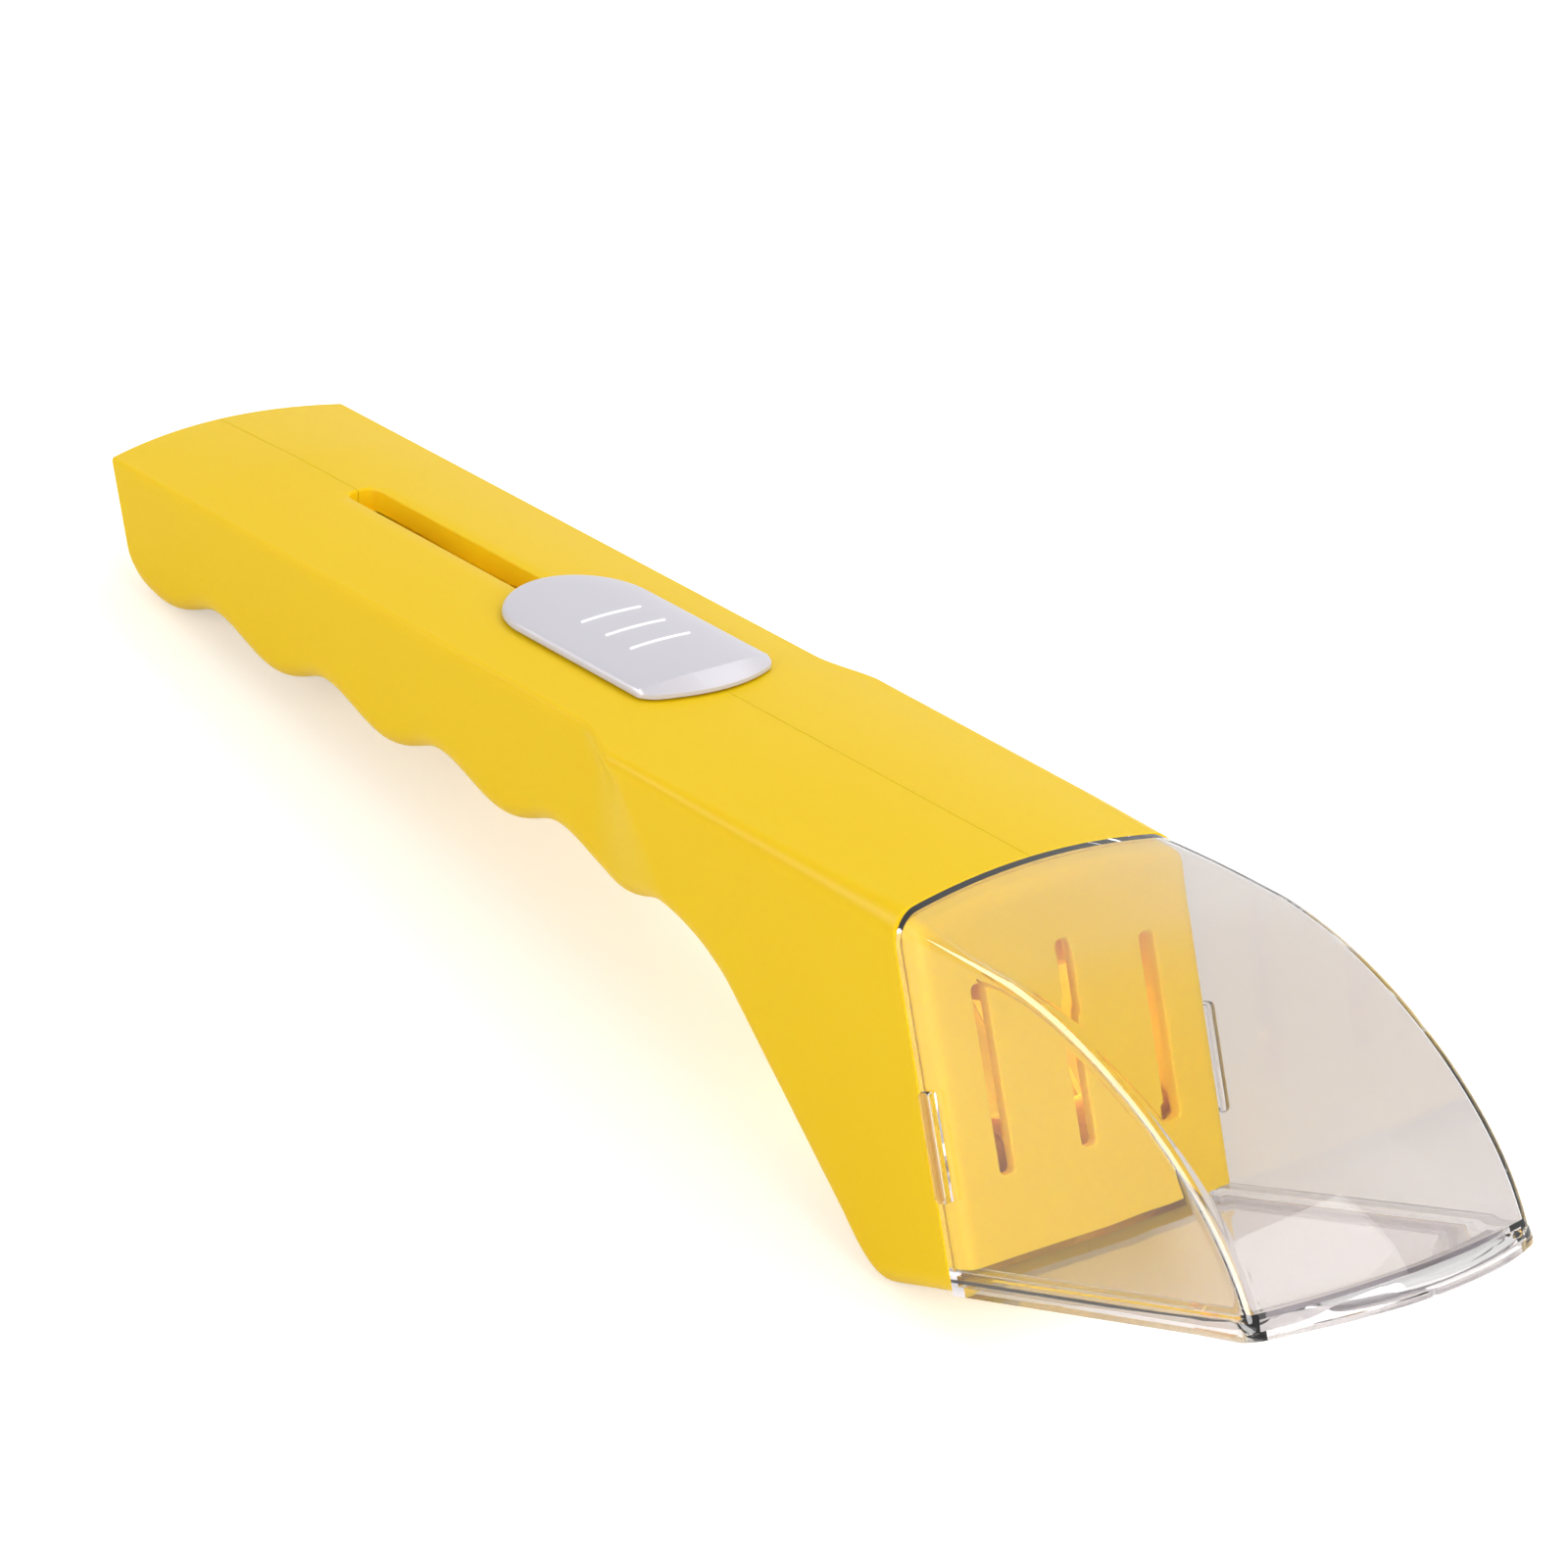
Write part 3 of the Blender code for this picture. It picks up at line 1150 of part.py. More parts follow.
def main():
    """Build the whole tool."""
    clear_scene()
    make_shells()
    make_front_plate()
    make_cup()
    sheet, bar = make_door()
    button = make_button()
    carriage, clamp = make_carriage()
    screws = make_screws()
    on_handle = handle_point(NECK_MIDDLE_U, 0, 0)
    in_mouth = tool_point(CUP_LENGTH, 0, SHEET_Z)
    moving = [(piece, on_handle) for piece in (button, carriage, clamp, *screws[-2:])]
    moving += [(piece, in_mouth) for piece in (sheet, bar)]
    return lay_down(moving)


PLACED = main()
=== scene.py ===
"""Dressed model of a hand-held catcher with a clear cup and a sliding door.

Each sub-assembly is a class that holds its sizes and makes and dresses its pieces. Everything is in
metres. Pieces are made in the tool's own frame, with X forward out of the cup, Y to the left and Z up
from the mouth plane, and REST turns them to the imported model's frame, where the tool lies down.
"""

from __future__ import annotations

import logging
import math
from collections.abc import Callable, Sequence
from dataclasses import dataclass
from enum import Enum
from typing import Any

import bmesh
import bpy
from mathutils import Euler, Matrix, Quaternion, Vector

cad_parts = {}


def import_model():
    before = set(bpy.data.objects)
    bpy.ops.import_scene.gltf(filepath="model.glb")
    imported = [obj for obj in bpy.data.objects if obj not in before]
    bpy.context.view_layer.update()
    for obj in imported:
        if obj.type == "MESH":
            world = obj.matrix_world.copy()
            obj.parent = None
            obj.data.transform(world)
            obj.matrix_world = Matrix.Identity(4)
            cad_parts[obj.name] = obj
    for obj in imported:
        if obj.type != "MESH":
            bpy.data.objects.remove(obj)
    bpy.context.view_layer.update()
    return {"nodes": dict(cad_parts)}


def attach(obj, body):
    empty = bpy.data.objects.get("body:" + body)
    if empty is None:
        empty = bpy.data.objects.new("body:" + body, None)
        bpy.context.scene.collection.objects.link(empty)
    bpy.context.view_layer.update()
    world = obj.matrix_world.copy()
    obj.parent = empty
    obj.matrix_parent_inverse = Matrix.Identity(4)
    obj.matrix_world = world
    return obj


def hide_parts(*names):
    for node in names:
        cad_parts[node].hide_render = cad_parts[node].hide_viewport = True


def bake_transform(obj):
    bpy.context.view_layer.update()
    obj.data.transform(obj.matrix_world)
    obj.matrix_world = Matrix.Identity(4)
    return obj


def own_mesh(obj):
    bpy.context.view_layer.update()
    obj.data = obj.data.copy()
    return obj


LOG = logging.getLogger("catcher")
MILLIMETRE = 0.001
MERGE = 0.000002
# Turns in degrees past which an edge stays sharp: on moulded pieces, on clear ones and on small ones.
MOULDED_TURN, CLEAR_TURN, SMALL_TURN = 34.0, 30.0, 40.0
# How the tool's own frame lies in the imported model's frame.
REST_TURN = math.radians(-28.625606)
REST = Matrix.Translation((0.0820154, 0, 0.0088486)) @ Matrix.Rotation(REST_TURN, 4, "Y")

Pair = tuple[float, float]
Triple = tuple[float, float, float]
Place = Callable[[float, float, float], Vector]
Rows = Sequence[tuple[Any, ...]]


class Body(Enum):
    """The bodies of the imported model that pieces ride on."""

    HANDLE = "body"
    THUMB = "thumb"
    DOOR = "door"


class Carve(Enum):
    """What a solid does to the solid that it meets."""

    CUT = "DIFFERENCE"
    JOIN = "UNION"


# Node trees and materials


def linear(hex_colour: str) -> tuple[float, float, float, float]:
    """Turn an sRGB hex colour into the linear values that a shader socket takes.

    Args:
        hex_colour: Six hex digits after a hash sign.

    Returns:
        Linear red, green and blue, with an alpha of 1.
    """
    values = (int(hex_colour[n : n + 2], 16) / 255 for n in (1, 3, 5))
    red, green, blue = (v / 12.92 if v <= 0.04045 else ((v + 0.055) / 1.055) ** 2.4 for v in values)
    return red, green, blue, 1.0


def add_node(
    tree: bpy.types.NodeTree,
    kind: str,
    inputs: dict[int | str, Any],
    settings: dict[str, Any] | None = None,
) -> bpy.types.Node:
    """Add a node to a tree, with its inputs and its settings.

    Args:
        tree: The tree that gets the node.
        kind: Blender's name for the kind of node.
        inputs: Values or output sockets for the node's inputs, by name or number.
        settings: Values of the node's own properties.

    Returns:
        The new node.
    """
    node = tree.nodes.new(kind)
    for name, value in (settings or {}).items():
        setattr(node, name, value)
    for name, value in inputs.items():
        for one in value if isinstance(value, list) else [value]:
            if isinstance(one, bpy.types.NodeSocket):
                tree.links.new(one, node.inputs[name])
            else:
                node.inputs[name].default_value = one
    return node


def add_rows(tree: bpy.types.NodeTree, rows: Rows) -> None:
    """Add nodes in order, each given as a name of its own, its kind, its inputs and its settings.

    A text among the inputs names an earlier row and, after a point, which of its outputs is meant.

    Args:
        tree: The tree that gets the nodes.
        rows: The nodes.
    """
    made: dict[str, bpy.types.Node] = {}

    def found(value: Any) -> Any:
        """Give the socket that a text names, or else the value itself.

        Args:
            value: A text, a list of texts or any other value.

        Returns:
            The socket, the list of sockets or the value.
        """
        if isinstance(value, list):
            return [found(one) for one in value]
        if not isinstance(value, str):
            return value
        name, _, output = value.partition(".")
        return made[name].outputs[int(output) if output.isdigit() else output or 0]

    for name, kind, inputs, *settings in rows:
        links = {socket: found(value) for socket, value in inputs.items()}
        made[name] = add_node(tree, kind, links, *settings)


def new_material(name: str, rows: Rows) -> bpy.types.Material:
    """Make a node material.

    Args:
        name: The material's name.
        rows: Its nodes, with its shader last.

    Returns:
        The material.
    """
    material = bpy.data.materials.new(name)
    material.use_nodes = True
    material.node_tree.nodes.clear()
    add_rows(material.node_tree, (*rows, ("output", "ShaderNodeOutputMaterial", {0: rows[-1][0]})))
    return material


def per_mm(size: float) -> float:
    """Scale of a pattern whose features are that many millimetres wide."""
    return 1 / (size * MILLIMETRE)


PLACE = ("place", "ShaderNodeTexCoord", {})
TIMES = {"operation": "MULTIPLY"}
LARGER = {"operation": "MAXIMUM"}


@dataclass(frozen=True)
class MouldedPlastic:
    """Opaque thermoplastic from an injection mould, with the mould's fine spark-eroded grain."""

    name: str
    colour: str
    shade: str
    roughness: float = 0.38
    ior: float = 1.53
    grain_mm: float = 0.45
    grain_depth_mm: float = 0.005
    cloud_mm: float = 45.0
    gloss: float = 0.5
    glow: float = 0.0
    glow_depth_mm: float = 1.0
    glow_reach: Triple = (0.6, 0.42, 0.14)
    spread: float = 0.05

    def material(self) -> bpy.types.Material:
        """Make the material, with a faint cloud in its colour and gloss, and its grain as a bump.

        Returns:
            The material.
        """
        low, high = self.roughness - self.spread, self.roughness + self.spread
        cloud = {"Vector": "place.Object", "Scale": per_mm(self.cloud_mm), "Detail": 3.0}
        grain = {"Vector": "place.Object", "Scale": per_mm(self.grain_mm), "Detail": 2.0}
        bump = {"Strength": 0.5, "Distance": self.grain_depth_mm * MILLIMETRE, "Height": "grain"}
        colour = {0: "cloud", 6: linear(self.colour), 7: linear(self.shade)}
        surface = {
            "Base Color": "colour.2",
            "Roughness": "gloss",
            "IOR": self.ior,
            "Specular IOR Level": self.gloss,
            "Normal": "bump",
            "Subsurface Weight": self.glow,
            "Subsurface Radius": self.glow_reach,
            "Subsurface Scale": self.glow_depth_mm * MILLIMETRE,
        }
        return new_material(self.name, (
            PLACE,
            ("cloud", "ShaderNodeTexNoise", cloud),
            ("colour", "ShaderNodeMix", colour, {"data_type": "RGBA"}),
            ("gloss", "ShaderNodeMapRange", {0: "cloud", 3: low, 4: high}),
            ("grain", "ShaderNodeTexNoise", grain),
            ("bump", "ShaderNodeBump", bump),
            ("surface", "ShaderNodeBsdfPrincipled", surface),
        ))


@dataclass(frozen=True)
class ClearPlastic:
    """Clear polished plastic that bends what is seen through it and lets lamps through."""

    name: str
    colour: str
    shadow: str
    roughness: float = 0.01
    ior: float = 1.57
    wave_mm: float = 24.0
    wave_depth_mm: float = 0.015

    def material(self) -> bpy.types.Material:
        """Make the material, with the faint waves of moulding, and clear for lamps.

        Returns:
            The material.
        """
        wave = {"Vector": "place.Object", "Scale": per_mm(self.wave_mm), "Detail": 1.0}
        bump = {"Strength": 0.3, "Distance": self.wave_depth_mm * MILLIMETRE, "Height": "wave"}
        glass = {
            "Base Color": linear(self.colour),
            "Roughness": "haze",
            "IOR": self.ior,
            "Transmission Weight": 1.0,
            "Normal": "bump",
        }
        return new_material(self.name, (
            PLACE,
            ("wave", "ShaderNodeTexNoise", wave),
            ("haze", "ShaderNodeMapRange", {0: "wave", 3: self.roughness, 4: self.roughness * 2}),
            ("bump", "ShaderNodeBump", bump),
            ("glass", "ShaderNodeBsdfPrincipled", glass),
            ("ray", "ShaderNodeLightPath", {}),
            ("clear", "ShaderNodeBsdfTransparent", {"Color": linear(self.shadow)}),
            ("mix", "ShaderNodeMixShader", {0: "ray.Is Shadow Ray", 1: "glass", 2: "clear"}),
        ))


@dataclass(frozen=True)
class PlatedSteel:
    """Steel wire, cold headed and zinc plated, with the plating's fine mottling."""

    name: str
    colour: str
    roughness: Pair = (0.2, 0.4)
    mottle_mm: float = 0.8

    def material(self) -> bpy.types.Material:
        """Make the material, with a mottled gloss.

        Returns:
            The material.
        """
        mottle = {"Vector": "place.Object", "Scale": per_mm(self.mottle_mm), "Detail": 3.0}
        gloss = {0: "mottle", 3: self.roughness[0], 4: self.roughness[1]}
        metal = {"Base Color": linear(self.colour), "Metallic": 1.0, "Roughness": "gloss"}
        return new_material(self.name, (
            PLACE,
            ("mottle", "ShaderNodeTexNoise", mottle),
            ("gloss", "ShaderNodeMapRange", gloss),
            ("metal", "ShaderNodeBsdfPrincipled", metal),
        ))


# ABS, injection moulded in a satin tool: a dense yellow with wide, soft highlights. Light that soaks
# into its thin walls comes out orange, which is seen in the slots. The grain is drawn twice as coarse
# as the real one, so that it shows.
YELLOW_ABS = MouldedPlastic(
    "yellow_abs_satin_moulded", "#F0C914", "#EDC50F", gloss=0.1, glow=0.6, glow_depth_mm=1.5
)
# ABS, injection moulded and a little glossier: a cool light grey that picks up the lamps on its crown.
GREY_ABS = MouldedPlastic("grey_abs_moulded", "#CCC9D1", "#C8C5CE", 0.3, 1.53, 0.5, 0.003, 15.0)
# White on the raised grip lines: a flat, clean white that is a painted highlight along their tops.
GRIP_LINES_PAINTED_HIGHLIGHT = MouldedPlastic("white_ink_pad_printed", "#FBFBFB", "#F7F7F8", 0.45, 1.5, 0.3, 0.001, 6.0)
# Acetal, injection moulded: a milky white that slides without oil.
WHITE_ACETAL = MouldedPlastic("white_acetal_moulded", "#ECEBE6", "#E6E4DE", 0.42, 1.48, 0.6, 0.004, 12.0)
# Acrylic, injection moulded in a polished tool: clear, with a faint warm grey, and dark at its edges.
CLEAR_ACRYLIC = ClearPlastic("clear_acrylic_moulded", "#E1DEDE", "#FAF9F7", 0.008, 1.49)
# PET, extruded as sheet and die cut: clear, with the faint waves of the rollers.
CLEAR_PET = ClearPlastic("clear_pet_sheet", "#E0DBDD", "#FAF9F8", 0.012, 1.57, 12.0, 0.003)
# Polycarbonate, injection moulded with a smoke tint.
SMOKE_POLYCARBONATE = ClearPlastic("smoke_polycarbonate_moulded", "#8E8792", "#C9C4CB", 0.02, 1.585)
# Steel, zinc plated: bright, with a slightly grey, mottled gloss.
ZINC_STEEL = PlatedSteel("zinc_plated_steel", "#C9CACC")


# Placing and mesh building


def in_tool(x: float, y: float, z: float) -> Vector:
    """Point in the tool's own frame."""
    return Vector((x, y, z))


def in_side_view(x: float, z: float, y: float) -> Vector:
    """Point of a side-view outline, at y across."""
    return Vector((x, y, z))


def in_front_view(y: float, z: float, x: float) -> Vector:
    """Point of a front-view outline, at x along."""
    return Vector((x, y, z))


def clamped(value: float) -> float:
    """The value, kept between 0 and 1."""
    return min(max(value, 0), 1)


def between(low: float, high: float, steps: int) -> list[float]:
    """Values from low to high in equal steps."""
    return [low + (high - low) * n / steps for n in range(steps + 1)]


def turns(steps: int, start: float = 0.0) -> list[float]:
    """Angles from start to a right angle in equal steps."""
    return between(start, math.pi / 2, steps)


def circle(a: float, b: float, radius: float, steps: int = 32) -> list[Pair]:
    """Points of a circle about (a, b)."""
    around = [2 * math.pi * n / steps for n in range(steps)]
    return [(a + radius * math.cos(t), b + radius * math.sin(t)) for t in around]


def rounded(spans: Sequence[Pair], radius: float, steps: int = 7) -> list[Pair]:
    """Points of a rectangle with round corners.

    Args:
        spans: Low and high value of both coordinates.
        radius: Radius of the corners.
        steps: Points of each corner.

    Returns:
        The outline, turning one way.
    """
    (a0, a1), (b0, b1) = ((low + radius, high - radius) for low, high in spans)
    outline = []
    for quarter, (a, b) in enumerate(((a1, b1), (a0, b1), (a0, b0), (a1, b0))):
        for step in range(steps):
            turn = math.pi / 2 * (quarter + step / (steps - 1))
            outline.append((a + radius * math.cos(turn), b + radius * math.sin(turn)))
    return outline


def flare(radius: float, steps: int = 5) -> list[Pair]:
    """Depth below a face and growth of a cut whose mouth is rounded, from deep to just past the face."""
    return [(radius * (0.95 - math.sin(t)), radius * (1 - math.cos(t))) for t in turns(steps)]


def front_curve(x: float, bulge: float, half: float) -> list[Pair]:
    """Points (x, y) of a front edge that bulges forward in its middle."""
    return [(x + bulge * (1 - (y / half) ** 2), y) for y in between(-half, half, 40)]


def linked(name: str, data: bpy.types.ID) -> bpy.types.Object:
    """Make an object of the scene.

    Args:
        name: The object's name.
        data: Its mesh, light or camera.

    Returns:
        The object.
    """
    made = bpy.data.objects.new(name, data)
    bpy.context.scene.collection.objects.link(made)
    return made


class Solid:
    """A closed mesh in the making."""

    def __init__(self) -> None:
        """Start with an empty mesh."""
        self.mesh = bmesh.new()

    def loft(self, loops: Sequence[Sequence[Sequence[float]]]) -> Solid:
        """Add a solid through closed loops of the same count, with a face at each end.

        Args:
            loops: The loops, in order.

        Returns:
            This solid.
        """
        rows = [[self.mesh.verts.new(point) for point in loop] for loop in loops]
        for low, high in zip(rows, rows[1:]):
            for n in range(len(low)):
                after = (n + 1) % len(low)
                self.mesh.faces.new((low[n], low[after], high[after], high[n]))
        self.mesh.faces.new(rows[0])
        self.mesh.faces.new(rows[-1])
        return self

    def prism(self, outline: Sequence[Pair], place: Place, low: float, high: float) -> Solid:
        """Add an outline that is extruded from low to high."""
        return self.loft([[place(a, b, c) for a, b in outline] for c in (low, high)])

    def block(self, place: Place, spans: Sequence[Pair]) -> Solid:
        """Add a box that spans three ranges of the coordinates that place understands."""
        (a0, a1), (b0, b1), (c0, c1) = spans
        return self.prism([(a0, b0), (a1, b0), (a1, b1), (a0, b1)], place, c0, c1)

    def turned(self, profile: Sequence[Pair], place: Place) -> Solid:
        """Add a turned solid from (radius, height) points."""
        return self.loft([[place(a, b, h) for a, b in circle(0, 0, r)] for r, h in profile])

    def rings(
        self, place: Place, spans: Sequence[Pair], corner: float, rings: Sequence[Pair], least: float = 0.0
    ) -> Solid:
        """Add a solid through rectangles with round corners.

        Args:
            place: Turns a point of the outline and a height into a point of the solid.
            spans: Low and high value of the outline's two coordinates.
            corner: Radius of the corners.
            rings: Height of each rectangle, and how much wider it is on all sides.
            least: Smallest radius that the corners keep.

        Returns:
            This solid.
        """
        loops = []
        for height, more in rings:
            wider = [(low - more, high + more) for low, high in spans]
            outline = rounded(wider, max(corner + more, least))
            loops.append([place(a, b, height) for a, b in outline])
        return self.loft(loops)

    def soften(self, least_angle: float, radius: float, steps: int, along: Callable | None = None) -> Solid:
        """Round edges.

        Args:
            least_angle: Degrees that the surface turns by at an edge that is rounded.
            radius: How far the rounding reaches.
            steps: Faces across it.
            along: Tells whether an edge is one of those that are meant, where not all are.

        Returns:
            This solid.
        """
        sharp = [e for e in self.mesh.edges if e.calc_face_angle(0) > math.radians(least_angle)]
        edges = [edge for edge in sharp if along is None or along(edge)]
        bmesh.ops.bevel(
            self.mesh, geom=edges, offset=radius, segments=steps, profile=0.5, affect="EDGES"
        )
        return self

    def done(self, name: str) -> bpy.types.Object:
        """Turn the mesh into an object of the scene.

        Args:
            name: The object's name.

        Returns:
            The object, with its normals out.
        """
        bmesh.ops.recalc_face_normals(self.mesh, faces=self.mesh.faces)
        mesh = bpy.data.meshes.new(name)
        self.mesh.to_mesh(mesh)
        self.mesh.free()
        return linked(name, mesh)


def plain_mesh(made: bpy.types.Object) -> None:
    """Turn what an object's modifiers give into its plain mesh, and remove the modifiers.

    Args:
        made: The object.
    """
    bpy.context.view_layer.update()
    graph = bpy.context.evaluated_depsgraph_get()
    mesh = bpy.data.meshes.new_from_object(made.evaluated_get(graph), depsgraph=graph)
    made.modifiers.clear()
    made.data = mesh


def carve(
    base: bpy.types.Object, solid: Solid, how: Carve = Carve.CUT, less: Solid | None = None
) -> None:
    """Cut a solid from a piece or join it to it.

    Args:
        base: The piece.
        solid: The solid that cuts or joins.
        how: Whether it cuts or joins.
        less: What is cut from the solid first. Its own parts may run into each other.
    """
    operand = solid.done("operand")
    if less:
        cut(operand, less.done("less"), Carve.CUT, True)
    cut(base, operand, how, False)


def cut(base: bpy.types.Object, operand: bpy.types.Object, how: Carve, crossing: bool) -> None:
    """Run one boolean and remove its operand.

    Args:
        base: The object that is changed.
        operand: The object that cuts or joins.
        how: Whether it cuts or joins.
        crossing: Whether the operand's own parts run into each other.
    """
    step = base.modifiers.new("carve", "BOOLEAN")
    step.operation, step.solver, step.use_self, step.object = how.value, "EXACT", crossing, operand
    plain_mesh(base)
    bpy.data.objects.remove(operand)


def bevel(made: bpy.types.Object, width: float, angle: float) -> None:
    """Soften an object's edges.

    Args:
        made: The object.
        width: Radius of the softened edges.
        angle: The turn in degrees past which an edge is an edge.
    """
    step = made.modifiers.new("edges", "BEVEL")
    step.width, step.segments, step.limit_method = width, 3, "ANGLE"
    step.angle_limit = math.radians(angle)
    plain_mesh(made)


def shade(made: bpy.types.Object, angle: float, matrix: Matrix | None = None) -> bpy.types.Object:
    """Merge a mesh's doubles, place it and shade it smooth, with sharp edges past an angle.

    Args:
        made: The object.
        angle: The turn in degrees past which an edge stays sharp.
        matrix: Where the mesh goes.

    Returns:
        The object.
    """
    solid = bmesh.new()
    solid.from_mesh(made.data)
    bmesh.ops.remove_doubles(solid, verts=solid.verts, dist=MERGE)
    bmesh.ops.dissolve_degenerate(solid, edges=solid.edges, dist=MERGE)
    if matrix:
        bmesh.ops.transform(solid, matrix=matrix, verts=solid.verts)
    for face in solid.faces:
        face.smooth = True
    for edge in solid.edges:
        edge.smooth = len(edge.link_faces) == 2 and edge.calc_face_angle(0) < math.radians(angle)
    solid.to_mesh(made.data)
    solid.free()
    return made


def copy_of(node: bpy.types.Object, angle: float, edge: float) -> bpy.types.Object:
    """Copy a CAD node as one closed mesh with smooth shading and softened edges, to stand for it.

    Args:
        node: The CAD node.
        angle: The turn in degrees past which an edge is an edge.
        edge: Radius of the softened edges.

    Returns:
        The copy.
    """
    mesh = node.data.copy()
    mesh.materials.clear()
    made = linked(f"{node.name}_moulded", mesh)
    solid = bmesh.new()
    solid.from_mesh(mesh)
    bmesh.ops.remove_doubles(solid, verts=solid.verts, dist=MERGE)
    bmesh.ops.dissolve_limit(solid, angle_limit=math.radians(1), verts=solid.verts, edges=solid.edges)
    solid.to_mesh(mesh)
    solid.free()
    bevel(made, edge, angle)
    return shade(made, angle)


def grow(
    name: str, sizes: dict[str, Any], rows: Rows, points: Sequence[Vector], material: bpy.types.Material
) -> bpy.types.Object:
    """Make a piece with a Geometry Nodes tree of its own and keep it as a plain mesh.

    Args:
        name: The piece's name.
        sizes: Names and values of the tree's inputs.
        rows: The tree's nodes, which find its inputs in the row named given.
        points: Points that the tree starts from.
        material: The piece's finish.

    Returns:
        The piece, with no modifier left.
    """
    tree = bpy.data.node_groups.new(name, "GeometryNodeTree")
    for way in ("INPUT", "OUTPUT"):
        tree.interface.new_socket("Geometry", in_out=way, socket_type="NodeSocketGeometry")
    kinds = {int: "NodeSocketInt", float: "NodeSocketFloat"}
    for size, value in sizes.items():
        tree.interface.new_socket(size, in_out="INPUT", socket_type=kinds[type(value)])
    add_rows(tree, (
        ("given", "NodeGroupInput", {}),
        *rows,
        ("real", "GeometryNodeRealizeInstances", {"Geometry": rows[-1][0]}),
        ("smooth", "GeometryNodeSetShadeSmooth", {"Geometry": "real"}),
        ("dressed", "GeometryNodeSetMaterial", {"Geometry": "smooth", "Material": material}),
        ("result", "NodeGroupOutput", {0: "dressed"}),
    ))
    mesh = bpy.data.meshes.new(name)
    mesh.from_pydata([tuple(point) for point in points], [], [])
    made = linked(name, mesh)
    step = made.modifiers.new(name, "NODES")
    step.node_group = tree
    for socket in tree.interface.items_tree:
        if socket.in_out == "INPUT" and socket.name in sizes:
            step[socket.identifier] = sizes[socket.name]
    plain_mesh(made)
    return made


def settle(piece: bpy.types.Object, body: Body, material: bpy.types.Material, *nodes: str) -> None:
    """Dress a piece, let it ride on its body and let it stand for its CAD nodes.

    Args:
        piece: The finished piece.
        body: The body that it rides on.
        material: Its finish.
        nodes: The CAD nodes that it replaces.
    """
    piece.data.materials.clear()
    piece.data.materials.append(material)
    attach(piece, body.value)
    if nodes:
        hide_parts(*nodes)
    LOG.info("%s rides on %s, %d faces", piece.name, body.value, len(piece.data.polygons))


# Forms that several pieces share


@dataclass(frozen=True)
class Fit:
    """Clearances and overruns."""

    gap: float = 0.0003
    slide: float = 0.0004
    embed: float = 0.0005
    margin: float = 0.002


